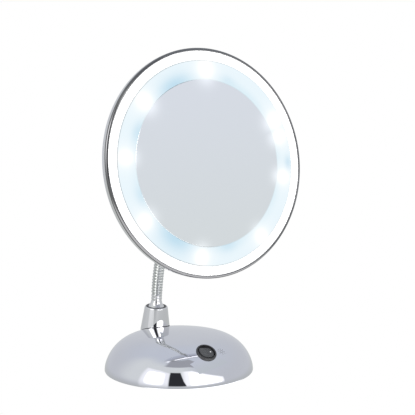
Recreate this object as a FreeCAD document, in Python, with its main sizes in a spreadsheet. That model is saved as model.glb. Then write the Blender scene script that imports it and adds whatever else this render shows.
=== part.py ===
import FreeCAD, Part
import math
import os
import re
import Sketcher

# Lighted vanity mirror: a round framed mirror with a ring of eight LEDs, carried by a flexible
# gooseneck on a domed, battery-powered base.
# Frame: millimetres, origin at the base centre on the table, +Z up, the mirror faces -Y.

Vector = FreeCAD.Vector
X_AXIS = Vector(1, 0, 0)
Z_AXIS = Vector(0, 0, 1)

doc = FreeCAD.newDocument("lighted_vanity_mirror")

# ---------------------------------------------------------------- driving dimensions

DIMENSIONS = {
    # base housing
    "base_radius": 62.0,
    "base_height": 31.3,
    "base_edge": 0.4,
    "base_wall": 2.2,
    "crown_radius": 245.0,
    "shoulder_radius": 32.2,
    "skirt_radius": 20.4,
    "plate_radius": 59.3,
    "plate_low": 1.5,
    "plate_top": 3.7,
    "pad_radius": 6.0,
    "pad_reach": 48.0,
    "boss_radius": 3.5,
    "boss_reach": 51.0,
    "screw_shank": 1.45,
    # battery bay
    "bay_half_width": 32.5,
    "bay_front": -30.0,
    "bay_rear": 28.0,
    "bay_top": 20.2,
    "bay_wall": 1.6,
    "cell_radius": 7.0,
    "cell_body": 49.2,
    "cell_nub": 1.0,
    "cell_pitch": 15.0,
    "door_half_width": 28.6,
    "door_rear": 24.6,
    "door_front": -30.6,
    "door_top": 3.5,
    "door_axis_y": -32.6,
    "door_axis_z": 3.0,
    "door_pin_radius": 0.8,
    "weight_reach": 54.0,
    "weight_inner": 34.5,
    "weight_half_length": 28.0,
    "weight_top": 12.0,
    # rocker switch
    "switch_reach": 47.5,
    "switch_turn": 3.8,
    "switch_bezel_radius": 8.3,
    "switch_body_radius": 7.5,
    "rocker_angle": 9.0,
    "rocker_pivot": -0.4,
    # gooseneck
    "neck_lean": 5.0,
    "neck_base_y": 39.7,
    "neck_base_z": 46.6,
    "ferrule_length": 10.4,
    "neck_low_radius": 140.0,
    "neck_low_end": 24.0,
    "neck_outer": 4.9,
    "neck_valley": 4.2,
    "neck_bore": 1.75,
    "coil_pitch": 2.65,
    "coil_width": 1.5,
    "ball_radius": 3.4,
    "ball_play": 0.05,
    "cable_radius": 1.3,
    # mirror head
    "head_y": -47.9,
    "head_z": 172.3,
    "head_tilt": 4.57,
    "rim_radius": 89.2,
    "rim_inner": 87.0,
    "rim_depth": 4.0,
    "bezel_outer": 86.9,
    "bezel_inner": 80.0,
    "lens_outer": 79.7,
    "lens_inner": 64.9,
    "glass_radius": 64.7,
    "glass_thick": 3.0,
    "face_sink": 0.2,
    "cover_round": 6.2,
    "cover_depth": 22.0,
    "cover_wall": 1.8,
    "head_cone": 8.0,
    "neck_stub": 4.0,
    "led_reach": 72.5,
    "head_screw_reach": 60.0,
}

# Places that follow from the dimensions: the arc centres of the base dome and of the back cover.
DERIVED = {
    "crown_z": "=base_height - crown_radius",
    "skirt_r": "=base_radius - skirt_radius",
    "skirt_rise": "=base_edge - crown_z",
    "skirt_span": "=sqrt(skirt_r * skirt_r + skirt_rise * skirt_rise)",
    "crown_gap": "=crown_radius - shoulder_radius",
    "skirt_gap": "=shoulder_radius - skirt_radius",
    "shoulder_along": "=(crown_gap * crown_gap - skirt_gap * skirt_gap"
                      " + skirt_span * skirt_span) / (2 * skirt_span)",
    "shoulder_off": "=sqrt(crown_gap * crown_gap - shoulder_along * shoulder_along)",
    "shoulder_r": "=(shoulder_along * skirt_r - shoulder_off * skirt_rise) / skirt_span",
    "shoulder_z": "=crown_z + (shoulder_along * skirt_rise"
                  " + shoulder_off * skirt_r) / skirt_span",
    "cover_reach": "=rim_radius - cover_round",
    "cover_rise": "=cover_depth - rim_depth",
    "cover_radius": "=(cover_reach * cover_reach + cover_rise * cover_rise"
                    " - cover_round * cover_round) / (2 * (cover_rise - cover_round))",
    "cover_z": "=cover_radius - cover_depth",
    "screw_face": "=cover_z + 0.55 - sqrt(cover_radius * cover_radius"
                  " - head_screw_reach * head_screw_reach)",
}

sheet = doc.addObject("Spreadsheet::Sheet", "Dimensions")


def fill_sheet():
    rows = list(DIMENSIONS.items()) + list(DERIVED.items())
    for row, (name, value) in enumerate(rows, start=1):
        sheet.set("A%d" % row, name)
        sheet.set("B%d" % row, str(value))
        sheet.setAlias("B%d" % row, name)
    doc.recompute()


fill_sheet()
NAMES = set(DIMENSIONS) | set(DERIVED)


def size(name):
    return float(sheet.get(name))


def bound(expression):
    """The expression with each dimension's name pointed at its cell in the sheet."""
    return re.sub(r"[a-z_]+", lambda m: ("Dimensions." if m.group() in NAMES else "") + m.group(),
                  str(expression))


probe = doc.addObject("App::FeaturePython", "Probe")
probe.addProperty("App::PropertyFloat", "Reading")


def value_of(expression):
    probe.setExpression("Reading", bound(expression))
    doc.recompute([probe])
    return probe.Reading


# ---------------------------------------------------------------- modelling helpers

def new_body(label):
    body = doc.addObject("PartDesign::Body", label)
    body.Label = label
    body.AllowCompound = True
    return body


def new_sketch(body, label, role, offset=None):
    plane = [f for f in body.Origin.OriginFeatures if f.Role == role][0]
    sketch = body.newObject("Sketcher::SketchObject", label)
    sketch.AttachmentSupport = (plane, [""])
    sketch.MapMode = "FlatFace"
    if offset is not None:
        sketch.setExpression("AttachmentOffset.Base.z", bound(offset))
    sketch.Visibility = False
    return sketch


def arc_between(start, end, radius, bulge):
    """The short arc from start to end; bulge is +1 if it passes left of the way there, else -1."""
    a = Vector(start[0], start[1], 0)
    b = Vector(end[0], end[1], 0)
    chord = b - a
    left = Vector(-chord.y, chord.x, 0) * (1.0 / chord.Length)
    half = chord.Length / 2
    reach = math.sqrt(max(radius * radius - half * half, 0.0))
    centre = (a + b) * 0.5 - left * (bulge * reach)
    first, last = (b, a) if bulge > 0 else (a, b)
    angles = [math.atan2(tip.y - centre.y, tip.x - centre.x) for tip in (first, last)]
    if angles[1] < angles[0]:
        angles[1] += 2 * math.pi
    return Part.ArcOfCircle(Part.Circle(centre, Z_AXIS, radius), angles[0], angles[1])


def draw_outline(sketch, outline):
    """A closed outline of (x, y) corners; a corner (x, y, radius, bulge) is reached by an arc."""
    places = [(value_of(corner[0]), value_of(corner[1])) for corner in outline]
    count = len(outline)
    ends = []
    for i in range(count):
        target = outline[(i + 1) % count]
        start, end = places[i], places[(i + 1) % count]
        if len(target) == 4:
            radius = value_of(target[2])
            arc = arc_between(start, end, radius, target[3])
            index = sketch.addGeometry(arc, False)
            ends.append((index, 2, 1) if target[3] > 0 else (index, 1, 2))
            number = sketch.addConstraint(Sketcher.Constraint("Radius", index, radius))
            sketch.setExpression("Constraints[%d]" % number, bound(target[2]))
        else:
            line = Part.LineSegment(Vector(start[0], start[1], 0), Vector(end[0], end[1], 0))
            ends.append((sketch.addGeometry(line, False), 1, 2))
    for i in range(count):
        here, there = ends[i], ends[(i + 1) % count]
        join = Sketcher.Constraint("Coincident", here[0], here[2], there[0], there[1])
        sketch.addConstraint(join)
    for i, corner in enumerate(outline):
        edge, tip = ends[i][0], ends[i][1]
        for kind, expression, place in zip(("DistanceX", "DistanceY"), corner, places[i]):
            number = sketch.addConstraint(Sketcher.Constraint(kind, edge, tip, place))
            sketch.setExpression("Constraints[%d]" % number, bound(expression))


def repeated(body, feature, copies):
    """The feature repeated evenly round the body's own Z axis, as separate solids."""
    axis = [f for f in body.Origin.OriginFeatures if f.Role == "Z_Axis"][0]
    pattern = body.newObject("PartDesign::PolarPattern", body.Label + "_pattern")
    pattern.Originals = [feature]
    pattern.Axis = (axis, [""])
    pattern.Angle = 360
    pattern.Occurrences = copies
    body.Tip = pattern


def turned(label, outline, centre=None, copies=1):
    """A solid of revolution about the body's Z axis, or about a parallel axis at x = centre."""
    body = new_body(label)
    sketch = new_sketch(body, label + "_profile", "XZ_Plane")
    shift = "" if centre is None else centre + " + "
    draw_outline(sketch, [(shift + str(corner[0]),) + tuple(corner[1:]) for corner in outline])
    axis = "V_Axis"
    if centre is not None:
        x = value_of(centre)
        line = sketch.addGeometry(Part.LineSegment(Vector(x, 0, 0), Vector(x, 10, 0)), True)
        sketch.addConstraint(Sketcher.Constraint("Vertical", line))
        number = sketch.addConstraint(Sketcher.Constraint("DistanceX", line, 1, x))
        sketch.setExpression("Constraints[%d]" % number, bound(centre))
        axis = "Axis0"
    turn = body.newObject("PartDesign::Revolution", label + "_turn")
    turn.Profile = sketch
    turn.ReferenceAxis = (sketch, [axis])
    turn.Angle = 360
    body.Tip = turn
    if copies > 1:
        repeated(body, turn, copies)
    return body


def padded(label, outline, low, high, copies=1):
    """A flat outline in the body's XY plane, padded from height low to height high."""
    body = new_body(label)
    sketch = new_sketch(body, label + "_outline", "XY_Plane", low)
    draw_outline(sketch, outline)
    pad = body.newObject("PartDesign::Pad", label + "_pad")
    pad.Profile = sketch
    pad.setExpression("Length", bound("(%s) - (%s)" % (high, low)))
    body.Tip = pad
    if copies > 1:
        repeated(body, pad, copies)
    return body


def rectangle(x0, x1, y0, y1):
    return [(x0, y0), (x1, y0), (x1, y1), (x0, y1)]


def block(label, x0, x1, y0, y1, z0, z1):
    box = doc.addObject("Part::Box", label)
    for prop, low, high in (("Length", x0, x1), ("Width", y0, y1), ("Height", z0, z1)):
        box.setExpression(prop, bound("(%s) - (%s)" % (high, low)))
    for axis, low in (("x", x0), ("y", y0), ("z", z0)):
        box.setExpression("Placement.Base." + axis, bound(low))
    return box


def rod(label, radius, x, y, z0, z1):
    """A cylinder along Z."""
    bar = doc.addObject("Part::Cylinder", label)
    bar.setExpression("Radius", bound(radius))
    bar.setExpression("Height", bound("(%s) - (%s)" % (z1, z0)))
    for axis, place in (("x", x), ("y", y), ("z", z0)):
        bar.setExpression("Placement.Base." + axis, bound(place))
    return bar


def cross_rod(label, radius, x0, x1, y, z):
    """A cylinder along X."""
    bar = doc.addObject("Part::Cylinder", label)
    bar.setExpression("Radius", bound(radius))
    bar.setExpression("Height", bound("(%s) - (%s)" % (x1, x0)))
    bar.Placement.Rotation = FreeCAD.Rotation(Vector(0, 1, 0), 90)
    for axis, place in (("x", x0), ("y", y), ("z", z)):
        bar.setExpression("Placement.Base." + axis, bound(place))
    return bar


def fuse(label, parts):
    joined = doc.addObject("Part::MultiFuse", label)
    joined.Shapes = parts
    joined.Label = label
    return joined


def common(label, parts):
    shared = doc.addObject("Part::MultiCommon", label)
    shared.Shapes = parts
    shared.Label = label
    return shared


def cut(label, base, tools):
    rest = doc.addObject("Part::Cut", label)
    rest.Base = base
    rest.Tool = tools[0] if len(tools) == 1 else fuse(label + "_tools", tools)
    rest.Label = label
    return rest


def placed(label, shapes):
    """A node made of shapes that stand where they belong."""
    piece = doc.addObject("Part::Feature", label)
    piece.Label = label
    piece.Shape = shapes[0] if len(shapes) == 1 else Part.makeCompound(shapes)
    return piece


# ---------------------------------------------------------------- frames

def tilted(origin, angle):
    """A frame at origin, turned about X, so that its Z leans from world Z towards -Y."""
    return FreeCAD.Placement(origin, FreeCAD.Rotation(X_AXIS, angle))


def lean_tangent(angle):
    return Vector(0, -math.sin(math.radians(angle)), math.cos(math.radians(angle)))


SOCKET = tilted(Vector(0, size("neck_base_y"), size("neck_base_z")), size("neck_lean"))
# local X to the right, local Y up the mirror, local Z out of the glass
HEAD = tilted(Vector(0, size("head_y"), size("head_z")), 90 - size("head_tilt"))


def dome_place(reach):
    """(height, slope in degrees) of the dome's shoulder at a distance from the axis."""
    side = reach - size("shoulder_r")
    rise = math.sqrt(size("shoulder_radius") ** 2 - side ** 2)
    return size("shoulder_z") + rise, math.degrees(math.atan2(side, rise))


def switch_frame():
    height, slope = dome_place(size("switch_reach"))
    turned_frame = FreeCAD.Placement(Vector(), FreeCAD.Rotation(Z_AXIS, -size("switch_turn")))
    return turned_frame.multiply(tilted(Vector(0, -size("switch_reach"), height), slope))


SWITCH = switch_frame()
CABLE_INLET = SOCKET.multVec(Vector(0, 0, -39.5))


def lead_inlets():
    """(x, z) at which the two switch leads enter the battery bay."""
    ends = [SWITCH.multVec(Vector(side, 0, -19.8)) for side in (-4.2, 4.2)]
    return [(end.x, end.z) for end in ends]


# ---------------------------------------------------------------- base

def dome_edge(wall):
    """The dome's corners from its foot up to the axis, set in by a wall."""
    skirt = "(skirt_radius - %s)" % wall
    shoulder = "(shoulder_radius - %s)" % wall
    crown = "(crown_radius - %s)" % wall
    low = ("shoulder_r + %s * (skirt_r - shoulder_r) / skirt_gap" % shoulder,
           "shoulder_z + %s * (base_edge - shoulder_z) / skirt_gap" % shoulder)
    high = ("%s * shoulder_r / crown_gap" % crown,
            "crown_z + %s * (shoulder_z - crown_z) / crown_gap" % crown)
    return [("base_radius - %s" % wall, "base_edge"), low + (skirt, 1), high + (shoulder, 1),
            ("0", "base_height - %s" % wall, crown, 1)]


def make_dome():
    """The housing's outer form as a full solid, used to trim what joins it."""
    edge = dome_edge("0")
    up = [(corner if len(corner) == 2 else corner[:3] + (-1,)) for corner in edge]
    return turned("dome_form", [("0", "base_edge")] + up)


def make_base_shell(dome):
    outer = [(c if len(c) == 2 else c[:3] + (-1,)) for c in dome_edge("0")]
    inner = dome_edge("base_wall")
    back = [(inner[3][0], inner[3][1]),
            inner[2][:2] + (inner[3][2], 1),
            inner[1][:2] + (inner[2][2], 1),
            inner[0] + (inner[1][2], 1)]
    skin = turned("dome_skin", outer + back)
    posts = turned("dome_posts", [("0", "plate_top"), ("boss_radius", "plate_top"),
                                  ("boss_radius", "30"), ("0", "30")], "boss_reach", 4)
    posts.Placement = FreeCAD.Placement(Vector(), FreeCAD.Rotation(Z_AXIS, 45))
    seat = turned("socket_seat", [("0", "-30"), ("13", "-30"), ("13", "0"), ("0", "0")])
    seat.Placement = SOCKET
    inside = common("dome_inner_forms", [dome, fuse("dome_bosses", [posts, seat])])
    holes = turned("post_holes", [("0", "0"), ("screw_shank + 0.03", "0"),
                                  ("screw_shank + 0.03", "13"), ("0", "13")], "boss_reach", 4)
    holes.Placement = posts.Placement
    spot = turned("switch_spot", [("0", "-20"), ("switch_body_radius + 0.2", "-20"),
                                  ("switch_body_radius + 0.2", "-1"),
                                  ("switch_bezel_radius + 0.15", "-1"),
                                  ("switch_bezel_radius + 0.15", "10"), ("0", "10")])
    spot.Placement = SWITCH
    way = turned("socket_way", [("0", "-40"), ("2.6", "-40"), ("2.6", "5"), ("0", "5")])
    way.Placement = SOCKET
    bolts = turned("socket_bolt_ways", [("0", "-35"), ("1.6", "-35"), ("1.6", "0"), ("0", "0")],
                   "9", 3)
    bolts.Placement = SOCKET.multiply(FreeCAD.Placement(Vector(), FreeCAD.Rotation(Z_AXIS, -90)))
    return cut("base_shell", fuse("dome_whole", [skin, inside]), [holes, spot, way, bolts])


def make_neck_socket(dome):
    cone = turned("socket_form", [("3", "-30"), ("13.5", "-30"), ("12.9", "-20.5"),
                                  ("10.2", "-1.4"), ("9.3", "-0.2", "1.3", -1), ("8.9", "-0.2"),
                                  ("8.4", "-0.8"), ("8.1", "-1.9"), ("5.6", "-1.9"),
                                  ("5.6", "-13.5"), ("3", "-13.5")])
    cone.Placement = SOCKET
    taps = turned("socket_taps", [("0", "-35"), ("screw_shank + 0.03", "-35"),
                                  ("screw_shank + 0.03", "-15.6"), ("0", "-15.6")], "9", 3)
    taps.Placement = SOCKET.multiply(FreeCAD.Placement(Vector(), FreeCAD.Rotation(Z_AXIS, -90)))
    return cut("neck_socket", cone, [dome, taps])


def make_socket_screws():
    screws = turned("socket_screws", [("0", "-31.6"), ("2.5", "-31.6"), ("2.7", "-30"),
                                      ("screw_shank", "-30"), ("screw_shank", "-16"),
                                      ("0", "-16")], "9", 3)
    screws.Placement = SOCKET.multiply(FreeCAD.Placement(Vector(), FreeCAD.Rotation(Z_AXIS, -90)))
    return screws


def make_lower_ferrule():
    """Chromed sleeve with a flared foot and two turned grooves; it plugs into the socket."""
    ferrule = turned("lower_ferrule", [
        ("2.2", "-13"), ("5.5", "-13"), ("5.5", "-1.4"), ("6.8", "-1.4"), ("7.1", "-0.9"),
        ("7.1", "-0.3"), ("6.6", "0.5"), ("4.8", "4.4", "7", 1), ("4.7", "5"), ("4.35", "5.3"),
        ("4.35", "5.9"), ("4.7", "6.2"), ("4.7", "7.6"), ("4.35", "7.9"), ("4.35", "8.5"),
        ("4.7", "8.8"), ("4.7", "ferrule_length - 0.3"), ("4.5", "ferrule_length"),
        ("2.2", "ferrule_length")])
    ferrule.Placement = SOCKET
    return ferrule


def make_base_plate():
    disc = turned("plate_disc", [("0", "plate_low"), ("plate_radius - 0.5", "plate_low"),
                                 ("plate_radius", "plate_low + 0.5"),
                                 ("plate_radius", "plate_top"), ("0", "plate_top")])
    lugs = [block("hinge_lug_%d" % i, x0, x1, "-36", "door_axis_y + 1.5",
                  "plate_low", "door_axis_z + 1.5")
            for i, (x0, x1) in enumerate((("-24.4", "-20.8"), ("20.8", "24.4")))]
    bay = block("bay_opening", "-(door_half_width + 0.4)", "door_half_width + 0.4",
                "door_front - 0.8", "door_rear + 0.4", "0", "10")
    notches = [block("hinge_notch_%d" % i, x0, x1, "door_axis_y - 2.2", "-30", "0", "10")
               for i, (x0, x1) in enumerate((("-20.5", "-9.5"), ("9.5", "20.5")))]
    pin_way = cross_rod("pin_way", "door_pin_radius + 0.02", "-24.4", "24.4",
                        "door_axis_y", "door_axis_z")
    screw_ways = turned("plate_screw_ways", [("0", "0"), ("2.9", "0"), ("2.9", "plate_low"),
                                             ("screw_shank + 0.2", "plate_low + 1.4"),
                                             ("screw_shank + 0.2", "6"), ("0", "6")],
                        "boss_reach", 4)
    screw_ways.Placement = FreeCAD.Placement(Vector(), FreeCAD.Rotation(Z_AXIS, 45))
    whole = fuse("plate_whole", [disc] + lugs)
    return cut("base_plate", whole, [bay, pin_way, screw_ways] + notches)


def make_base_screws():
    screws = turned("base_screws", [("0", "plate_low + 0.1"), ("2.7", "plate_low + 0.1"),
                                    ("screw_shank", "plate_low + 1.4"), ("screw_shank", "12"),
                                    ("0", "12.8")], "boss_reach", 4)
    screws.Placement = FreeCAD.Placement(Vector(), FreeCAD.Rotation(Z_AXIS, 45))
    return screws


def make_foot_pads():
    return turned("foot_pads", [("0", "0"), ("pad_radius - 0.4", "0"), ("pad_radius", "0.4"),
                                ("pad_radius", "plate_low"), ("0", "plate_low")],
                  "pad_reach", 4)


def make_ballast():
    """Two cast weights, one on each side of the battery bay."""
    disc = rod("weight_disc", "weight_reach", "0", "0", "plate_top", "weight_top")
    sides = [block("weight_side_%d" % i, x0, x1, "-weight_half_length", "weight_half_length",
                   "0", "30")
             for i, (x0, x1) in enumerate((("-60", "-weight_inner"), ("weight_inner", "60")))]
    clear = turned("weight_clear", [("0", "0"), ("6", "0"), ("6", "30"), ("0", "30")],
                   "boss_reach", 4)
    clear.Placement = FreeCAD.Placement(Vector(), FreeCAD.Rotation(Z_AXIS, 45))
    shaped = common("weight_shaped", [disc, fuse("weight_sides", sides)])
    return cut("ballast_weights", shaped, [clear])


def wire_way(label, radius, start):
    """A 6 mm hole running towards -Y from start."""
    way = doc.addObject("Part::Cylinder", label)
    way.Radius = radius
    way.Height = 6.0
    way.Placement = FreeCAD.Placement(start, FreeCAD.Rotation(X_AXIS, 90))
    return way


def make_battery_bay():
    outer = block("bay_outer", "-bay_half_width", "bay_half_width", "bay_front", "bay_rear",
                  "plate_top", "bay_top")
    room = block("bay_room", "-(bay_half_width - bay_wall)", "bay_half_width - bay_wall",
                 "bay_front + bay_wall", "bay_rear - bay_wall", "0", "bay_top - bay_wall")
    wire_ways = [wire_way("bay_wire_way_%d" % i, 0.9, Vector(x, size("bay_front") + 4, z))
                 for i, (x, z) in enumerate(lead_inlets())]
    wire_ways.append(wire_way("bay_cable_way", 1.6, Vector(0, size("bay_rear") + 2,
                                                           CABLE_INLET.z)))
    return cut("battery_bay", outer, [room] + wire_ways)


def cell_rows():
    """(centre x, +1 or -1 for the end that the nub is at) of each cell."""
    pitch = size("cell_pitch")
    return [((i - 1.5) * pitch, 1 if i % 2 else -1) for i in range(4)]


def bay_inner():
    wall = size("bay_wall") + 0.4
    return size("bay_front") + wall, size("bay_rear") - wall


def make_cells():
    cell = turned("cell_form", [("0", "0"), ("cell_radius - 0.6", "0"), ("cell_radius", "0.6"),
                                ("cell_radius", "cell_body - 0.6"),
                                ("cell_radius - 0.6", "cell_body"), ("2.7", "cell_body"),
                                ("2.7", "cell_body + cell_nub"), ("0", "cell_body + cell_nub")])
    doc.recompute()
    front, rear = bay_inner()
    height = size("door_top") + size("cell_radius") + 0.3
    length = size("cell_body") + size("cell_nub")
    shapes = []
    for x, end in cell_rows():
        tip = rear - 0.05 if end > 0 else front + 0.05
        turn = FreeCAD.Rotation(X_AXIS, -90 * end)
        shapes.append(cell.Shape.transformed(
            FreeCAD.Placement(Vector(x, tip - end * length, height), turn).toMatrix()))
    return placed("battery_cells", shapes)


def make_contacts():
    """Bent leaf springs at the cells' flat ends, and plates on both end walls."""
    front, rear = bay_inner()
    height = size("door_top") + size("cell_radius") + 0.3
    leaf = new_body("leaf_spring")
    sketch = new_sketch(leaf, "leaf_outline", "YZ_Plane", "-3")
    draw_outline(sketch, [("0.45", "-3.6"), ("0.8", "-3.6"), ("3.6", "-0.5"), ("3.6", "0.5"),
                          ("1.4", "2.9"), ("1.15", "2.65"), ("3.25", "0.35"),
                          ("3.25", "-0.35"), ("0.45", "-3.4")])
    pad = leaf.newObject("PartDesign::Pad", "leaf_pad")
    pad.Profile = sketch
    pad.Length = 6.0
    leaf.Tip = pad
    doc.recompute()
    springs = []
    for x, end in cell_rows():
        wall = front if end > 0 else rear
        turn = FreeCAD.Rotation(Z_AXIS, 0 if end > 0 else 180)
        springs.append(leaf.Shape.transformed(
            FreeCAD.Placement(Vector(x, wall, height), turn).toMatrix()))
    half = size("cell_pitch") * 0.46
    plates = []
    for low, y in ((True, front - 0.4), (False, rear)):
        for x0, x1 in plate_spans(low, half):
            plates.append(Part.makeBox(x1 - x0, 0.35, 10.0, Vector(x0, y + 0.02, height - 5)))
    return placed("battery_springs", springs), placed("contact_plates", plates)


def plate_spans(front, half):
    """The plates join neighbouring cells in pairs at one wall, and end the row at the other."""
    rows = [x for x, _ in cell_rows()]
    pairs = ((0, 1), (2, 3)) if front else ((0, 0), (1, 2), (3, 3))
    return [(rows[a] - half, rows[b] + half) for a, b in pairs]


def make_battery_door():
    plate = block("door_plate", "-door_half_width", "door_half_width", "door_front",
                  "door_rear", "plate_low", "door_top")
    spans = (("-20", "-10"), ("10", "20"))
    arms = [block("door_arm_%d" % i, x0, x1, "door_axis_y", "door_front + 1", "plate_low",
                  "door_top") for i, (x0, x1) in enumerate(spans)]
    barrels = [cross_rod("door_barrel_%d" % i, "1.5", x0, x1, "door_axis_y", "door_axis_z")
               for i, (x0, x1) in enumerate(spans)]
    way = cross_rod("door_pin_way", "door_pin_radius + 0.05", "-22", "22", "door_axis_y",
                    "door_axis_z")
    grip = [block("door_grip_%d" % i, "-9", "9", y, y + " + 1.1", "0", "plate_low + 0.7")
            for i, y in enumerate(("door_rear - 7", "door_rear - 10", "door_rear - 13"))]
    return cut("battery_door", fuse("door_whole", [plate] + arms + barrels), [way] + grip)


def make_door_pin():
    pin = cross_rod("door_hinge_pin", "door_pin_radius", "-24.2", "24.2", "door_axis_y",
                    "door_axis_z")
    pin.Label = "door_hinge_pin"
    return pin


# ---------------------------------------------------------------- switch

def make_switch_body():
    form = turned("switch_form", [
        ("0", "-13"), ("switch_body_radius", "-13"), ("switch_body_radius", "-1"),
        ("switch_bezel_radius", "-1"), ("switch_bezel_radius", "0.1"),
        ("switch_bezel_radius - 0.8", "0.95", "1", -1), ("6.9", "0.95"), ("6.9", "-5.2"),
        ("0", "-5.2")])
    way = doc.addObject("Part::Cylinder", "rocker_pivot_way")
    way.Radius = 0.85
    way.Height = 14.8
    way.Placement = FreeCAD.Placement(Vector(0, 7.4, size("rocker_pivot")),
                                      FreeCAD.Rotation(X_AXIS, 90))
    body = cut("switch_body", form, [way])
    body.Placement = SWITCH
    return body


def make_rocker():
    """See-saw rocker, drawn level about its pivot and pressed down at its +X end."""
    prism = new_body("rocker_prism")
    sketch = new_sketch(prism, "rocker_outline", "XZ_Plane", "-5.4")
    draw_outline(sketch, [("-6.3", "1.2"), ("-5.4", "-2.6"), ("0", "-3.4"), ("5.4", "-2.6"),
                          ("6.3", "1.2"), ("0", "0.5")])
    pad = prism.newObject("PartDesign::Pad", "rocker_pad")
    pad.Profile = sketch
    pad.Length = 10.8
    prism.Tip = pad
    round_form = rod("rocker_round", "6.4", "0", "0", "-6", "6")
    pivot = doc.addObject("Part::Cylinder", "rocker_pivot_rod")
    pivot.Radius = 0.8
    pivot.Height = 14.2
    pivot.Placement = FreeCAD.Placement(Vector(0, 7.1, 0), FreeCAD.Rotation(X_AXIS, 90))
    rocker = fuse("switch_rocker", [common("rocker_head", [prism, round_form]), pivot])
    press = FreeCAD.Placement(Vector(0, 0, size("rocker_pivot")),
                              FreeCAD.Rotation(Vector(0, 1, 0), size("rocker_angle")))
    rocker.Placement = SWITCH.multiply(press)
    return rocker


def make_switch_terminals():
    tabs = [block("terminal_%d" % i, x0, x1, "-1.6", "1.6", "-18.5", "-13")
            for i, (x0, x1) in enumerate((("-4.6", "-3.8"), ("3.8", "4.6")))]
    terminals = doc.addObject("Part::Compound", "switch_terminals")
    terminals.Links = tabs
    terminals.Label = "switch_terminals"
    terminals.Placement = SWITCH
    return terminals


def rounded_route(points, radii):
    """Straight runs joined by tangent arcs of the given radii at the inner points."""
    edges = []
    start = points[0]
    for i in range(1, len(points) - 1):
        before = (points[i - 1] - points[i]).normalize()
        after = (points[i + 1] - points[i]).normalize()
        half = math.acos(max(-1.0, min(1.0, before.dot(after)))) / 2
        back = radii[i - 1] / math.tan(half)
        near = points[i] + before * back
        far = points[i] + after * back
        centre = points[i] + (before + after).normalize() * (radii[i - 1] / math.sin(half))
        middle = centre + (points[i] - centre).normalize() * radii[i - 1]
        edges.append(Part.LineSegment(start, near).toShape())
        edges.append(Part.Arc(near, middle, far).toShape())
        start = far
    edges.append(Part.LineSegment(start, points[-1]).toShape())
    return edges


def swept(edges, radius):
    wire = Part.Wire(edges)
    start = wire.Edges[0].valueAt(wire.Edges[0].FirstParameter)
    along = wire.Edges[0].tangentAt(wire.Edges[0].FirstParameter)
    ring = Part.Wire([Part.Circle(start, along, radius).toShape()])
    return wire.makePipeShell([ring], True, False)


def make_switch_leads():
    """One wire from each switch terminal to the front wall of the battery bay."""
    leads = []
    for side, (x, z) in zip((-4.2, 4.2), lead_inlets()):
        points = [SWITCH.multVec(Vector(side, 0, -18.55)), SWITCH.multVec(Vector(side, 0, -19.8)),
                  Vector(x, size("bay_front") + 1.2, z)]
        leads.append(swept(rounded_route(points, [1.0]), 0.6))
    return placed("switch_leads", leads)


# ---------------------------------------------------------------- gooseneck

def neck_runs():
    """The neck's centreline in the plane x = 0: (length, radius or None, first and last lean)."""
    start = SOCKET.multVec(Vector(0, 0, size("ferrule_length")))
    depth = size("cover_depth") + size("head_cone") + size("neck_stub")
    end = HEAD.multVec(Vector(0, 0, -depth))
    lean0, lean1, lean2 = size("neck_lean"), size("neck_low_end"), 90 - size("head_tilt")
    low = size("neck_low_radius")
    a0, a1, a2 = (math.radians(lean) for lean in (lean0, lean1, lean2))
    knee_y = start.y - low * (math.cos(a0) - math.cos(a1))
    knee_z = start.z + low * (math.sin(a1) - math.sin(a0))
    # straight length and upper radius close the way from the knee to the head
    side, rise = knee_y - end.y, end.z - knee_z
    cy, cz = math.cos(a1) - math.cos(a2), math.sin(a2) - math.sin(a1)
    det = math.sin(a1) * cz - math.cos(a1) * cy
    straight = (side * cz - rise * cy) / det
    high = (math.sin(a1) * rise - math.cos(a1) * side) / det
    return start, [(low * (a1 - a0), low, lean0, lean1),
                   (straight, None, lean1, lean1),
                   (high * (a2 - a1), high, lean1, lean2)]


NECK_START, NECK_RUNS = neck_runs()
NECK_LENGTH = sum(run[0] for run in NECK_RUNS)


def neck_place(station):
    """(point, lean in degrees) at a distance along the neck."""
    point, left = NECK_START, station
    for length, radius, lean, last in NECK_RUNS:
        ahead = min(left, length) if (length, radius) != NECK_RUNS[-1][:2] else left
        if radius is None:
            step, turn = lean_tangent(lean) * ahead, 0.0
        else:
            turn = math.degrees(ahead / radius)
            a, b = math.radians(lean), math.radians(lean + turn)
            step = Vector(0, -(math.cos(a) - math.cos(b)), math.sin(b) - math.sin(a)) * radius
        point = point + step
        left -= ahead
        if left <= 1e-9:
            return point, lean + turn
    return point, last


def neck_edges(first, last):
    """The centreline between two stations as tangent edges."""
    edges, begin = [], 0.0
    for length, radius, lean, _ in NECK_RUNS:
        low, high = max(first, begin), min(last, begin + length)
        if high - low > 1e-6:
            ends = [neck_place(low)[0], neck_place((low + high) / 2)[0], neck_place(high)[0]]
            if radius is None:
                edges.append(Part.LineSegment(ends[0], ends[2]).toShape())
            else:
                edges.append(Part.Arc(*ends).toShape())
        begin += length
    return edges


def bore_edges(first, last):
    """The centreline 4 mm beyond two stations each way, run on straight at the neck's ends."""
    edges = neck_edges(max(first - 4, 0.0), min(last + 4, NECK_LENGTH))
    if first < 4:
        point, lean = neck_place(0.0)
        edges.insert(0, Part.LineSegment(point - lean_tangent(lean), point).toShape())
    if last + 4 > NECK_LENGTH:
        point, lean = neck_place(NECK_LENGTH)
        edges.append(Part.LineSegment(point, point + lean_tangent(lean)).toShape())
    return edges


JOINTS = 6
SPACING = 8 * size("coil_pitch")
FIRST_JOINT = (NECK_LENGTH - (JOINTS - 1) * SPACING) / 2
JOINT_STATIONS = [FIRST_JOINT + i * SPACING for i in range(JOINTS)]


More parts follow.
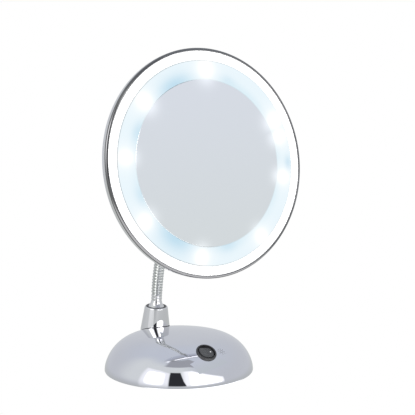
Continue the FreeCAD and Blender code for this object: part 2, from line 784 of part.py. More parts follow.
def coil_stations(first, last, ahead):
    """Centres of the coil turns between two stations, counted from the jointed end."""
    pitch, width = size("coil_pitch"), size("coil_width")
    span = last - first
    count = int((span - width) / pitch + 1e-6) + 1
    if ahead:
        return [first + width / 2 + i * pitch for i in range(count)]
    return [last - width / 2 - i * pitch for i in range(count)]


def neck_piece(label, first, last, cup, ball):
    """Flexible neck between two stations, with a cup at its lower and a ball at its upper end."""
    gap = (size("coil_pitch") - size("coil_width")) / 2
    low = first + (gap if cup else 0.0)
    high = last - (gap if ball else 0.0)
    shape = swept(neck_edges(low, high), size("neck_valley"))
    turns = []
    for station in coil_stations(low, high, cup or not ball):
        point, lean = neck_place(station)
        along = lean_tangent(lean)
        turns.append(Part.makeCylinder(size("neck_outer"), size("coil_width"),
                                       point - along * (size("coil_width") / 2), along))
    if ball:
        turns.append(Part.makeSphere(size("ball_radius"), neck_place(last)[0]))
    shape = shape.multiFuse(turns)
    bore = [swept(bore_edges(first, last), size("neck_bore"))]
    if cup:
        radius = size("ball_radius") + size("ball_play")
        bore.append(Part.makeSphere(radius, neck_place(first)[0]))
    return placed(label, [shape.cut(bore).removeSplitter()])


def make_neck():
    stations = [0.0] + JOINT_STATIONS + [NECK_LENGTH]
    pieces = []
    for i in range(JOINTS + 1):
        pieces.append(neck_piece("gooseneck_%d" % (i + 1), stations[i], stations[i + 1],
                                 i > 0, i < JOINTS))
    return pieces


def make_power_cable():
    """Two-core cable from the battery bay up through the neck to the light board's connector."""
    low = Vector(0, size("bay_rear") - 1.0, CABLE_INLET.z)
    socket_run = rounded_route([low, CABLE_INLET, NECK_START], [7.0])
    depth = size("cover_depth") + size("head_cone") + size("neck_stub")
    head_in = HEAD.multVec(Vector(0, 0, -depth))
    corner = HEAD.multVec(Vector(0, 0, -8.2))
    outlet = HEAD.multVec(Vector(0, -39.9, -8.2))
    head_run = rounded_route([head_in, corner, outlet], [4.2])
    edges = socket_run + neck_edges(0.0, NECK_LENGTH) + head_run
    return placed("power_cable", [swept(edges, size("cable_radius"))])


# ---------------------------------------------------------------- mirror head

def in_head(piece, turn=0.0):
    spin = FreeCAD.Placement(Vector(), FreeCAD.Rotation(Z_AXIS, turn))
    piece.Placement = HEAD.multiply(spin)
    return piece


def make_glass():
    return in_head(turned("mirror_glass", [
        ("0", "-(face_sink + glass_thick)"), ("glass_radius", "-(face_sink + glass_thick)"),
        ("glass_radius", "-(face_sink + 0.4)"), ("glass_radius - 0.4", "-face_sink"),
        ("0", "-face_sink")]))


def make_glass_pad():
    return in_head(turned("glass_adhesive_pad", [("22", "-4"), ("58", "-4"), ("58", "-3.2"),
                                                 ("22", "-3.2")]))


def make_light_lens():
    return in_head(turned("light_ring_lens", [
        ("lens_inner", "-1.8"), ("lens_outer", "-1.8"), ("lens_outer", "-0.5"),
        ("lens_outer - 0.3", "-face_sink"), ("lens_inner + 0.2", "-face_sink"),
        ("lens_inner", "-0.4")]))


def make_front_bezel():
    return in_head(turned("front_bezel", [
        ("bezel_inner", "-1.8"), ("82", "-1.8"), ("82", "-4.6"), ("83.4", "-4.6"),
        ("83.4", "-1.8"), ("bezel_outer", "-1.8"), ("bezel_outer", "-0.5"),
        ("bezel_outer - 0.5", "0", "0.5", -1), ("bezel_inner + 0.3", "0"),
        ("bezel_inner", "-0.3")]))


def make_rim():
    return in_head(turned("chrome_rim", [
        ("84.6", "-3.4"), ("85.6", "-3.4"), ("85.6", "-5.4"), ("86.8", "-5.4"),
        ("86.8", "-rim_depth"), ("rim_radius", "-rim_depth"), ("rim_radius", "-1.2"),
        ("rim_inner", "-1.2"), ("rim_inner", "-1.9"), ("84.6", "-1.9")]))


def make_trim_bead():
    """Dark chromed bead seated on the front of the rim."""
    return in_head(turned("trim_bead", [
        ("rim_inner", "-1.2"), ("rim_radius", "-1.2"), ("rim_radius", "-0.9"),
        ("rim_inner + 0.5", "0.8", "2.6", -1), ("rim_inner", "0.5")]))


def cover_edge(wall):
    """The back cover's corners from the rim to the axis, set in by a wall."""
    big = "(cover_radius - %s)" % wall
    small = "(cover_round - %s)" % wall
    turn = ("%s * cover_reach / (cover_radius - cover_round)" % big,
            "cover_z + %s * (-rim_depth - cover_z) / (cover_radius - cover_round)" % big)
    return [("rim_radius - %s" % wall, "-rim_depth"), turn + (small,),
            ("0", "-(cover_depth - %s)" % wall, big)]


def make_back_cover():
    outer = cover_edge("0")
    inner = cover_edge("cover_wall")
    skin = turned("cover_skin", [
        outer[0], outer[1] + (1,), outer[2] + (1,), inner[2][:2],
        inner[1][:2] + (inner[2][2], -1), inner[0] + (inner[1][2], -1)])
    way = turned("cover_way", [("0", "-30"), ("3", "-30"), ("3", "0"), ("0", "0")])
    bolts = turned("cover_bolt_ways", [("0", "-30"), ("1.6", "-30"), ("1.6", "0"), ("0", "0")],
                   "7.3", 3)
    sinks = turned("cover_screw_sinks", [
        ("0", "screw_face - 2"), ("2.8", "screw_face - 2"), ("2.8", "screw_face + 0.15"),
        ("screw_shank + 0.15", "screw_face + 1.15"), ("screw_shank + 0.15", "-9"), ("0", "-9")],
        "head_screw_reach", 4)
    sinks.Placement = FreeCAD.Placement(Vector(), FreeCAD.Rotation(Z_AXIS, 45))
    return in_head(cut("back_cover", skin, [way, bolts, sinks]))


def make_head_screws():
    return in_head(turned("head_screws", [
        ("0", "screw_face"), ("2.6", "screw_face"), ("2.6", "screw_face + 0.1"),
        ("screw_shank", "screw_face + 1.15"), ("screw_shank", "-4.6"), ("0", "-4.3")],
        "head_screw_reach", 4), 45)


def make_tray():
    """White reflector tray: it carries the glass and forms the channel of the light ring."""
    form = turned("tray_form", [
        ("9", "-6.4"), ("65", "-6.4"), ("65", "-8.2"), ("81", "-8.2"), ("81", "-1.9"),
        ("78.8", "-1.9"), ("78.8", "-6.8"), ("66.5", "-6.8"), ("66.5", "-1.9"), ("65", "-1.9"),
        ("65", "-4"), ("9", "-4")])
    posts = turned("tray_posts", [("0", "screw_face + 3.4"), ("3.2", "screw_face + 3.4"),
                                  ("3.2", "-5"), ("0", "-5")], "head_screw_reach", 4)
    posts.Placement = FreeCAD.Placement(Vector(), FreeCAD.Rotation(Z_AXIS, 45))
    ways = turned("tray_post_ways", [("0", "screw_face"), ("screw_shank + 0.03", "screw_face"),
                                     ("screw_shank + 0.03", "-3.9"), ("0", "-3.9")],
                  "head_screw_reach", 4)
    ways.Placement = posts.Placement
    slot = block("tray_wire_slot", "-3", "3", "-70", "-64", "-9", "-6.5")
    return in_head(cut("reflector_tray", fuse("tray_whole", [form, posts]), [ways, slot]))


def make_led_board():
    return in_head(turned("led_board", [("67", "-6.8"), ("78.4", "-6.8"), ("78.4", "-5.6"),
                                        ("67", "-5.6")]))


def make_leds():
    return in_head(padded("leds", rectangle("led_reach - 1.75", "led_reach + 1.75", "-2.5",
                                            "2.5"), "-5.6", "-4.5", 8), 90)


def make_resistors():
    return in_head(padded("led_resistors", rectangle("led_reach - 0.8", "led_reach + 0.8",
                                                     "-1.6", "1.6"), "-5.6", "-5", 8), 112.5)


def make_board_connector():
    return in_head(padded("board_connector", rectangle("-4", "4", "-48", "-40"),
                          "-9.8", "-6.4"))


def make_board_leads():
    leads = []
    for x in (-1.6, 1.6):
        points = [Vector(x, -48.05, -7.6), Vector(x, -68.5, -7.6), Vector(x, -68.5, -6.85)]
        points = [HEAD.multVec(point) for point in points]
        leads.append(swept(rounded_route(points, [0.7]), 0.5))
    return placed("board_leads", leads)


def make_head_socket():
    cone = turned("head_socket", [
        ("3", "-cover_depth"), ("12", "-cover_depth"), ("11.7", "-(cover_depth + 1)"),
        ("8.9", "-(cover_depth + head_cone - 0.7)"), ("8.2", "-(cover_depth + head_cone)"),
        ("5.6", "-(cover_depth + head_cone)"), ("5.6", "-(cover_depth + 4.4)"),
        ("3", "-(cover_depth + 4.4)")])
    taps = turned("head_socket_taps", [("0", "-(cover_depth + 3.4)"),
                                       ("screw_shank + 0.03", "-(cover_depth + 3.4)"),
                                       ("screw_shank + 0.03", "-cover_depth + 4"),
                                       ("0", "-cover_depth + 4")], "7.3", 3)
    cone.Label = "head_socket_form"
    return in_head(cut("head_socket", cone, [taps]))


def make_head_socket_screws():
    return in_head(turned("head_socket_screws", [
        ("0", "-(cover_depth + 3)"), ("screw_shank", "-(cover_depth + 3)"),
        ("screw_shank", "-(cover_depth - cover_wall - 0.4)"),
        ("2.6", "-(cover_depth - cover_wall - 0.4)"),
        ("2.4", "-(cover_depth - cover_wall - 1.8)"),
        ("0", "-(cover_depth - cover_wall - 1.8)")], "7.3", 3))


def make_upper_ferrule():
    return in_head(turned("upper_ferrule", [
        ("2.2", "-(cover_depth + 4.6)"), ("5.5", "-(cover_depth + 4.6)"),
        ("5.5", "-(cover_depth + head_cone)"), ("6.6", "-(cover_depth + head_cone)"),
        ("6.6", "-(cover_depth + head_cone + 1.4)"), ("5.3", "-(cover_depth + head_cone + 1.8)"),
        ("5.3", "-(cover_depth + head_cone + neck_stub - 0.4)"),
        ("4.9", "-(cover_depth + head_cone + neck_stub)"),
        ("2.2", "-(cover_depth + head_cone + neck_stub)")]))


# ---------------------------------------------------------------- assembly

def make_nodes():
    dome = make_dome()
    nodes = [make_base_shell(dome), make_neck_socket(dome), make_socket_screws(),
             make_lower_ferrule(), make_base_plate(), make_base_screws(), make_foot_pads(),
             make_ballast(), make_battery_bay(), make_cells()]
    nodes += list(make_contacts())
    nodes += [make_battery_door(), make_door_pin(), make_switch_body(), make_rocker(),
              make_switch_terminals(), make_switch_leads()]
    nodes += make_neck()
    nodes += [make_power_cable(), make_glass(), make_glass_pad(), make_light_lens(),
              make_front_bezel(), make_rim(), make_trim_bead(), make_back_cover(), make_head_screws(),
              make_tray(), make_led_board(), make_leds(), make_resistors(),
              make_board_connector(), make_board_leads(), make_head_socket(),
              make_head_socket_screws(), make_upper_ferrule()]
    return nodes


def check_document():
    bad = [o.Label for o in doc.Objects if {"Invalid", "Error"} & set(o.State)]
    if bad:
        raise RuntimeError("objects that failed: " + ", ".join(bad))


def write_parts(nodes):
    os.makedirs("parts", exist_ok=True)
    for node in nodes:
        shape = node.Shape
        if shape.isNull() or not shape.isValid() or not shape.Solids:
            raise RuntimeError("bad shape: " + node.Label)
        shape.exportStep("parts/%s.step" % node.Label)
        print("%-22s %d solid(s) %9.1f mm3" % (node.Label, len(shape.Solids), shape.Volume))


def describe_neck():
    print("neck length %.2f, runs %s" % (NECK_LENGTH, [run[:2] for run in NECK_RUNS]))
    for i, station in enumerate(JOINT_STATIONS):
        point, lean = neck_place(station)
        print("neck joint %d at y %.3f z %.3f lean %.3f" % (i + 1, point.y, point.z, lean))
    print("switch frame %s" % SWITCH)


NODES = make_nodes()
doc.recompute()
check_document()
write_parts(NODES)
describe_neck()
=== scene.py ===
import bpy
import bmesh
import math
from mathutils import Vector, Matrix


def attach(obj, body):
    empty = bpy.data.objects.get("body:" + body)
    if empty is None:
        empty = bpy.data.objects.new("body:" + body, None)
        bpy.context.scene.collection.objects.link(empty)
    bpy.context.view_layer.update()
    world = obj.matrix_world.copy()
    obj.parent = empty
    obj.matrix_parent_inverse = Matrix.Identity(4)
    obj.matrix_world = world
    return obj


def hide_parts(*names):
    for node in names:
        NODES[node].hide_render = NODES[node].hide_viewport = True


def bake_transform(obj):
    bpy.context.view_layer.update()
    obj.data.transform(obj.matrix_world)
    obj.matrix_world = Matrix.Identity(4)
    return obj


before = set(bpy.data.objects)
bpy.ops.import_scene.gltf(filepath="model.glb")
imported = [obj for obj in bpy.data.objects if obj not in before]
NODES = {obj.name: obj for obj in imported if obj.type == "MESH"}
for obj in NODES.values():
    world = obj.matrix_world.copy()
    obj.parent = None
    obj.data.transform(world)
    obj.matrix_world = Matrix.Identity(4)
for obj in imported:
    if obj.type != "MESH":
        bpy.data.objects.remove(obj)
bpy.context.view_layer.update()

MM = 0.001


# ------------------------------------------------------------------ node helpers

class Shader:
    """A small builder for one node tree."""

    def __init__(self, tree):
        self.tree = tree
        self.x = -1400

    def node(self, kind, inputs=None, **settings):
        made = self.tree.nodes.new(kind)
        self.x += 20
        made.location = (self.x, (len(self.tree.nodes) % 9) * 160)
        for name, value in settings.items():
            setattr(made, name, value)
        for name, value in (inputs or {}).items():
            self.plug(made.inputs[name], value)
        return made

    def plug(self, socket, value):
        if isinstance(value, bpy.types.NodeSocket):
            self.tree.links.new(value, socket)
        else:
            socket.default_value = value

    def math(self, operation, a, b=None, c=None, clamp=False):
        made = self.node("ShaderNodeMath", operation=operation, use_clamp=clamp)
        for i, value in enumerate((a, b, c)):
            if value is not None:
                self.plug(made.inputs[i], value)
        return made.outputs[0]

    def span(self, value, low, high, to_low=0.0, to_high=1.0, smooth=True):
        made = self.node("ShaderNodeMapRange", clamp=True,
                         interpolation_type="SMOOTHSTEP" if smooth else "LINEAR")
        for name, v in (("Value", value), ("From Min", low), ("From Max", high),
                        ("To Min", to_low), ("To Max", to_high)):
            self.plug(made.inputs[name], v)
        return made.outputs["Result"]

    def mix(self, factor, a, b, blend="MIX"):
        made = self.node("ShaderNodeMix", data_type="RGBA", blend_type=blend)
        self.plug(made.inputs["Factor"], factor)
        self.plug(made.inputs["A"], a)
        self.plug(made.inputs["B"], b)
        return made.outputs["Result"]

    def noise(self, where, scale, detail=3.0, rough=0.5):
        made = self.node("ShaderNodeTexNoise", {"Vector": where, "Scale": scale,
                                                "Detail": detail, "Roughness": rough})
        return made.outputs["Fac"]

    def place(self):
        return self.node("ShaderNodeTexCoord").outputs["Object"]

    def bump(self, height, strength, distance):
        made = self.node("ShaderNodeBump", {"Height": height, "Strength": strength,
                                            "Distance": distance})
        return made.outputs["Normal"]


def material(name):
    made = bpy.data.materials.new(name)
    made.use_nodes = True
    tree = made.node_tree
    tree.nodes.clear()
    shader = Shader(tree)
    out = shader.node("ShaderNodeOutputMaterial")
    return made, shader, out


def principled(shader, out, **inputs):
    made = shader.node("ShaderNodeBsdfPrincipled")
    for name, value in inputs.items():
        shader.plug(made.inputs[name.replace("_", " ")], value)
    shader.tree.links.new(made.outputs[0], out.inputs["Surface"])
    return made


def rgb(r, g, b):
    """Display values from 0 to 255 as a linear colour."""
    def line(v):
        v /= 255.0
        return v / 12.92 if v <= 0.04045 else ((v + 0.055) / 1.055) ** 2.4
    return (line(r), line(g), line(b), 1.0)


# ------------------------------------------------------------------ materials

def chrome(name, tint=(0.90, 0.90, 0.915), rough=0.035, wave=0.0):
    """Bright plating: faint clouding in the gloss, with hair-fine wipe marks."""
    made, s, out = material(name)
    where = s.place()
    cloud = s.noise(where, 35.0, 4.0)
    stretched = s.node("ShaderNodeMapping", {"Vector": where, "Scale": (900.0, 60.0, 900.0)})
    hairs = s.noise(stretched.outputs[0], 1.0, 2.0)
    gloss = s.math("ADD", s.span(cloud, 0.35, 0.75, rough * 0.7, rough * 1.5),
                   s.span(hairs, 0.55, 0.8, 0.0, rough * 0.5))
    colour = s.mix(s.span(cloud, 0.3, 0.7, 0.0, 1.0), (tint[0], tint[1], tint[2], 1.0),
                   (tint[0] * 0.975, tint[1] * 0.975, tint[2] * 0.98, 1.0))
    inputs = {"Base_Color": colour, "Metallic": 1.0, "Roughness": gloss}
    if wave:
        inputs["Normal"] = s.bump(s.noise(where, 14.0, 1.0), wave, 0.001)
    principled(s, out, **inputs)
    return made


def plastic(name, colour, rough, grain=0.0, grain_scale=2500.0, coat=0.0, mottle=0.06):
    """Moulded plastic with a fine spark-eroded grain and slightly uneven gloss."""
    made, s, out = material(name)
    where = s.place()
    cloud = s.noise(where, 60.0, 5.0, 0.6)
    dark = tuple(c * (1.0 - mottle) for c in colour[:3]) + (1.0,)
    inputs = {"Base_Color": s.mix(cloud, dark, colour),
              "Roughness": s.span(cloud, 0.3, 0.7, rough * 0.85, min(rough * 1.2, 1.0)),
              "Coat_Weight": coat}
    if grain:
        pits = s.node("ShaderNodeTexVoronoi", {"Vector": where, "Scale": grain_scale})
        inputs["Normal"] = s.bump(pits.outputs["Distance"], grain, 0.0002)
    principled(s, out, **inputs)
    return made


def metal(name, colour, rough, scale=(40.0, 40.0, 2500.0)):
    """Bare or zinc-plated metal with drawn or turned lines."""
    made, s, out = material(name)
    where = s.place()
    lines = s.node("ShaderNodeMapping", {"Vector": where, "Scale": scale})
    marks = s.noise(lines.outputs[0], 1.0, 3.0)
    dark = tuple(c * 0.8 for c in colour[:3]) + (1.0,)
    principled(s, out, Base_Color=s.mix(marks, dark, colour), Metallic=1.0,
               Roughness=s.span(marks, 0.3, 0.7, rough * 0.8, rough * 1.25),
               Normal=s.bump(marks, 0.15, 0.0002))
    return made


def rubber(name, colour):
    made, s, out = material(name)
    where = s.place()
    dust = s.noise(where, 400.0, 6.0, 0.7)
    dark = tuple(c * 0.7 for c in colour[:3]) + (1.0,)
    principled(s, out, Base_Color=s.mix(dust, dark, colour), Roughness=0.82,
               Normal=s.bump(dust, 0.3, 0.0003))
    return made


# ------------------------------------------------------------------ head frame

TILT = math.radians(4.57)
HEAD = Vector((0.0, -47.9, 172.3)) * MM
HEAD_UP = Vector((0.0, math.sin(TILT), math.cos(TILT)))
HEAD_OUT = Vector((0.0, -math.cos(TILT), math.sin(TILT)))
HEAD_MATRIX = Matrix.Translation(HEAD) @ Matrix((
    (1.0, 0.0, 0.0, 0.0), (0.0, HEAD_UP.y, HEAD_OUT.y, 0.0),
    (0.0, HEAD_UP.z, HEAD_OUT.z, 0.0), (0.0, 0.0, 0.0, 1.0)))


COVER_DEPTH = 22.0
SOCKET_LEAN = 5.0
SOCKET_AT = Vector((0.0, 39.7, 46.6))
SOCKET_MATRIX = (Matrix.Translation(SOCKET_AT * MM)
                 @ Matrix.Rotation(math.radians(SOCKET_LEAN), 4, "X"))


def head_plane(s):
    """The shaded point's place in the mirror's plane: (right, up) in millimetres."""
    where = s.place()
    moved = s.node("ShaderNodeVectorMath", {0: where, 1: tuple(HEAD)}, operation="SUBTRACT")
    axes = []
    for axis in (Vector((1.0, 0.0, 0.0)), HEAD_UP):
        dot = s.node("ShaderNodeVectorMath", {0: moved.outputs["Vector"],
                                              1: tuple(axis * 1000.0)},
                     operation="DOT_PRODUCT")
        axes.append(dot.outputs["Value"])
    return axes


# angle round the mirror and distance from its middle of each LED's glow, with its core's size
GLOWS = ((91.0, 73.0, 5.6), (141.0, 71.8, 5.2), (177.0, 73.0, 4.4), (216.0, 73.6, 4.8),
         (261.0, 73.4, 4.8), (308.0, 75.0, 4.8), (351.0, 71.0, 4.6), (29.0, 72.5, 5.6),
         (18.0, 71.5, 5.0))


def blob(s, right, up, angle, reach, width, squeeze=1.0):
    """A soft round spot on the mirror's plane."""
    c, n = math.cos(math.radians(angle)), math.sin(math.radians(angle))
    across = s.math("ADD", s.math("MULTIPLY", right, -n), s.math("MULTIPLY", up, c))
    along = s.math("ADD", s.math("MULTIPLY", right, c), s.math("MULTIPLY", up, n))
    a = s.math("DIVIDE", across, width)
    b = s.math("DIVIDE", s.math("SUBTRACT", along, reach), width * squeeze)
    square = s.math("ADD", s.math("MULTIPLY", a, a), s.math("MULTIPLY", b, b))
    return s.math("EXPONENT", s.math("MULTIPLY", square, -1.0))


def light_band_material():
    """Diffusing band lit from behind: pale blue, with a soft white glow over each LED."""
    made, s, out = material("light_band")
    right, up = head_plane(s)
    radius = s.math("SQRT", s.math("ADD", s.math("MULTIPLY", right, right),
                                   s.math("MULTIPLY", up, up)))
    core = halo = None
    for angle, reach, width in GLOWS:
        spot = blob(s, right, up, angle, reach, width * 1.0, 1.1)
        wide = blob(s, right, up, angle, reach, width * 2.3, 1.2)
        core = spot if core is None else s.math("MAXIMUM", core, spot)
        halo = wide if halo is None else s.math("MAXIMUM", halo, wide)
    deep = blob(s, right, up, 117.0, 65.0, 15.0, 0.5)
    for angle, reach, width, weight in ((239.0, 65.0, 17.0, 1.0), (160.0, 66.0, 8.0, 0.55),
                                        (0.0, 76.0, 6.0, 0.8), (202.0, 66.0, 8.0, 0.5),
                                        (282.0, 66.0, 9.0, 0.5), (74.0, 68.0, 7.0, 0.35)):
        spot = s.math("MULTIPLY", blob(s, right, up, angle, reach, width, 0.6), weight)
        deep = s.math("MAXIMUM", deep, spot)
    cloud = s.noise(s.place(), 30.0, 2.0)
    inner = s.span(radius, 64.0, 73.0, 1.0, 0.0)
    shade = s.math("MULTIPLY", s.span(cloud, 0.3, 0.7, 0.5, 1.0), inner)
    pale = s.mix(shade, rgb(231, 243, 249), rgb(216, 235, 244))
    pale = s.mix(deep, pale, rgb(188, 219, 236))
    colour = s.mix(s.math("MULTIPLY", halo, 0.72), pale, rgb(252, 254, 255))
    colour = s.mix(s.math("MULTIPLY", core, 1.6, clamp=True), colour, (1.1, 1.1, 1.1, 1.0))
    edge = s.math("MULTIPLY", s.span(radius, 79.0, 79.6, 1.0, 0.6),
                  s.span(radius, 65.0, 65.5, 0.9, 1.0))
    shell = principled(s, out, Base_Color=(0.02, 0.02, 0.02, 1.0), Roughness=0.35,
                       Emission_Color=colour, Emission_Strength=edge)
    shell.inputs["Specular IOR Level"].default_value = 0.05
    return made


def mirror_material():
    made, s, out = material("silvered_glass")
    where = s.place()
    haze = s.noise(where, 18.0, 3.0)
    right, up = head_plane(s)
    # Painted light: soft emission spots on the glass just inside each LED glow, the LEDs' light
    # painted onto the mirror as pools of light.
    glow = None
    for angle, reach, width in GLOWS:
        spot = blob(s, right, up, angle, reach - 4.0, width * 1.5, 1.0)
        glow = spot if glow is None else s.math("MAXIMUM", glow, spot)
    principled(s, out, Emission_Color=(0.93, 0.97, 1.0, 1.0),
               Emission_Strength=s.math("MULTIPLY", glow, 0.28),
               Base_Color=s.mix(haze, (0.955, 0.96, 0.965, 1.0),
                                (0.965, 0.97, 0.975, 1.0)),
               Metallic=1.0, Roughness=s.span(haze, 0.3, 0.7, 0.004, 0.014))
    return made


def bezel_material():
    """White moulding with an even painted glow: emission over the whole ring, standing partly for
    the light ring's light coming through the moulding and partly for brighter light on its face.
    """
    made, s, out = material("bezel_white")
    cloud = s.noise(s.place(), 80.0, 4.0)
    shell = principled(s, out, Base_Color=s.mix(cloud, (0.9, 0.9, 0.9, 1.0),
                                                (0.93, 0.93, 0.93, 1.0)),
                       Roughness=s.span(cloud, 0.3, 0.7, 0.3, 0.38),
                       Emission_Color=(1.0, 1.0, 1.0, 1.0), Emission_Strength=0.42)
    shell.inputs["Specular IOR Level"].default_value = 0.3
    return made


def etched_material():
    """Matt etching on the plating."""
    made, s, out = material("etched_mark")
    grain = s.noise(s.place(), 6000.0, 2.0)
    principled(s, out, Base_Color=s.mix(grain, (0.2, 0.2, 0.22, 1.0), (0.5, 0.5, 0.52, 1.0)),
               Metallic=0.5, Roughness=0.5)
    return made


def board_material():
    made, s, out = material("board_green")
    where = s.place()
    cells = s.node("ShaderNodeTexVoronoi", {"Vector": where, "Scale": 260.0})
    tracks = s.span(cells.outputs["Distance"], 0.45, 0.5)
    principled(s, out, Base_Color=s.mix(tracks, (0.02, 0.11, 0.05, 1.0),
                                        (0.05, 0.2, 0.09, 1.0)), Roughness=0.32)
    return made


def jacket_material():
    """Cell jacket: dark sleeve with a metallic band, no marks."""
    made, s, out = material("cell_jacket")
    where = s.place()
    split = s.node("ShaderNodeSeparateXYZ", {"Vector": where})
    band = s.span(split.outputs["Y"], 0.006, 0.0065)
    principled(s, out, Base_Color=s.mix(band, (0.02, 0.07, 0.06, 1.0),
                                        (0.55, 0.42, 0.2, 1.0)),
               Metallic=s.span(band, 0.0, 1.0, 0.2, 0.9), Roughness=0.3,
               Normal=s.bump(s.noise(where, 900.0), 0.1, 0.0002))
    return made


MAT = {
    "chrome": chrome("plated_chrome", (0.725, 0.730, 0.782), 0.03),
    "cone": chrome("socket_chrome", (0.73, 0.73, 0.74), 0.04),
    "neck": chrome("neck_chrome", (0.60, 0.61, 0.60), 0.07),
    "rim": chrome("rim_chrome", (0.76, 0.76, 0.77), 0.06),
    "dark_rim": chrome("smoked_chrome", (0.19, 0.19, 0.195), 0.08),
    "steel": metal("zinc_steel", (0.6, 0.6, 0.62, 1.0), 0.3),
    "black": plastic("black_textured", (0.022, 0.022, 0.025, 1.0), 0.5, 0.35),
    "switch": plastic("switch_black", (0.03, 0.03, 0.033, 1.0), 0.36, 0.1),
    "rocker": plastic("rocker_grey", (0.055, 0.056, 0.06, 1.0), 0.36, 0.1),
    "dot": plastic("dot_white", (0.85, 0.85, 0.85, 1.0), 0.4),
    "pad": rubber("pad_rubber", (0.05, 0.05, 0.05, 1.0)),
    "cast": metal("cast_weight", (0.1, 0.1, 0.1, 1.0), 0.6, (300.0, 300.0, 300.0)),
    "jacket": jacket_material(),
    "brass": metal("terminal_brass", (0.75, 0.58, 0.28, 1.0), 0.3),
    "wire": rubber("wire_black", (0.03, 0.03, 0.03, 1.0)),
    "board": board_material(),
    "white_part": plastic("white_moulding", (0.82, 0.82, 0.8, 1.0), 0.4, 0.1),
    "chip": plastic("chip_black", (0.03, 0.03, 0.03, 1.0), 0.5),
    "foam": rubber("white_foam", (0.75, 0.75, 0.73, 1.0)),
    "bezel": bezel_material(),
    "gap": plastic("joint_shadow", (0.04, 0.04, 0.045, 1.0), 0.7),
    "etch": etched_material(),
    "band": light_band_material(),
    "mirror": mirror_material(),
}

NODE_MATERIAL = {
    "base_shell": "chrome", "neck_socket": "cone", "socket_screws": "steel",
    "lower_ferrule": "cone", "base_plate": "black", "base_screws": "steel",
    "foot_pads": "pad", "ballast_weights": "cast", "battery_bay": "black",
    "battery_cells": "jacket", "battery_springs": "steel", "contact_plates": "steel",
    "door_hinge_pin": "steel", "switch_body": "switch", "switch_terminals": "brass",
    "switch_leads": "wire", "power_cable": "wire", "battery_door": "black",
    "switch_rocker": "rocker", "upper_ferrule": "chrome", "head_socket": "chrome",
    "head_socket_screws": "steel", "back_cover": "chrome", "head_screws": "steel",
    "chrome_rim": "rim", "trim_bead": "dark_rim", "front_bezel": "bezel",
    "light_ring_lens": "band",
    "reflector_tray": "white_part", "led_board": "board", "leds": "white_part",
    "led_resistors": "chip", "board_connector": "white_part", "board_leads": "wire",
    "mirror_glass": "mirror", "glass_adhesive_pad": "foam",
}
for i in range(1, 8):
    NODE_MATERIAL["gooseneck_%d" % i] = "neck"


def paint(obj, name):
    obj.data.materials.clear()
    obj.data.materials.append(MAT[name])


for node, name in NODE_MATERIAL.items():
    paint(NODES[node], name)


# ------------------------------------------------------------------ mesh helpers

def new_piece(name, verts, faces, mat, smooth=True):
    mesh = bpy.data.meshes.new(name)
    mesh.from_pydata([tuple(v) for v in verts], [], faces)
    mesh.validate()
    mesh.update()
    obj = bpy.data.objects.new(name, mesh)
    bpy.context.scene.collection.objects.link(obj)
    if smooth:
        mesh.polygons.foreach_set("use_smooth", [True] * len(mesh.polygons))
    paint(obj, mat)
    return obj


def lathe(name, profile, mat, matrix=None, steps=256, closed=False):
    """A surface turned about local Z through profile points (radius, height) in millimetres."""
    verts, faces = [], []
    count = len(profile)
    for i in range(steps):
        a = 2.0 * math.pi * i / steps
        for r, z in profile:
            verts.append(Vector((r * math.cos(a), r * math.sin(a), z)) * MM)
    rows = count if closed else count - 1
    for i in range(steps):
        j = (i + 1) % steps
        for k in range(rows):
            n = (k + 1) % count
            faces.append((i * count + k, j * count + k, j * count + n, i * count + n))
    obj = new_piece(name, verts, faces, mat)
    bm = bmesh.new()
    bm.from_mesh(obj.data)
    bmesh.ops.remove_doubles(bm, verts=bm.verts, dist=1e-7)
    bmesh.ops.dissolve_degenerate(bm, edges=bm.edges, dist=1e-8)
    bmesh.ops.recalc_face_normals(bm, faces=bm.faces)
    if matrix is not None:
        bmesh.ops.transform(bm, matrix=matrix, verts=bm.verts)
    bm.to_mesh(obj.data)
    bm.free()
    obj.data.polygons.foreach_set("use_smooth", [True] * len(obj.data.polygons))
    return obj


def sharpen(obj, angle=32.0):
    obj.data.set_sharp_from_angle(angle=math.radians(angle))
    return obj


def arc_points(cx, cz, radius, start, end, steps):
    return [(cx + radius * math.cos(math.radians(start + (end - start) * i / steps)),
             cz + radius * math.sin(math.radians(start + (end - start) * i / steps)))
            for i in range(steps + 1)]


def finish_piece(obj, body, replaced=()):
    if body is not None:
        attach(obj, body)
    if replaced:
        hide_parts(*replaced)
    return obj


# ------------------------------------------------------------------ base dome

BASE_R, BASE_H, EDGE, WALL = 62.0, 31.3, 0.4, 2.2
CROWN, SHOULDER, SKIRT = 245.0, 32.2, 20.4


def dome_arcs():
    """Centres and limit angles of the dome's crown, shoulder and skirt arcs."""
    crown = Vector((0.0, BASE_H - CROWN))
    skirt = Vector((BASE_R - SKIRT, EDGE))
    reach = skirt - crown
    near, far = CROWN - SHOULDER, SHOULDER - SKIRT
    along = (near * near - far * far + reach.length_squared) / (2.0 * reach.length)
    off = math.sqrt(near * near - along * along)
    unit = reach.normalized()
    shoulder = crown + unit * along + Vector((-unit.y, unit.x)) * off
    high = math.degrees(math.atan2(shoulder.y - crown.y, shoulder.x - crown.x))
    low = math.degrees(math.atan2(skirt.y - shoulder.y, skirt.x - shoulder.x))
    return crown, shoulder, skirt, high, low


def dome_profile(inset, fine=1):
    crown, shoulder, skirt, high, low = dome_arcs()
    points = arc_points(skirt.x, skirt.y, SKIRT - inset, 0.0, low, 14 * fine)
    points += arc_points(shoulder.x, shoulder.y, SHOULDER - inset, low, high, 18 * fine)[1:]
    points += arc_points(crown.x, crown.y, CROWN - inset, high, 90.0, 16 * fine)[1:]
    return points


def dome_height(reach):
    crown, shoulder, skirt, high, low = dome_arcs()
    for centre, radius, limit in ((crown, CROWN, high), (shoulder, SHOULDER, low),
                                  (skirt, SKIRT, 0.0)):
        side = reach - centre.x
        if abs(side) <= radius:
            rise = math.sqrt(radius * radius - side * side)
            if math.degrees(math.atan2(rise, side)) >= limit - 1e-6:
                return centre.y + rise
    return EDGE


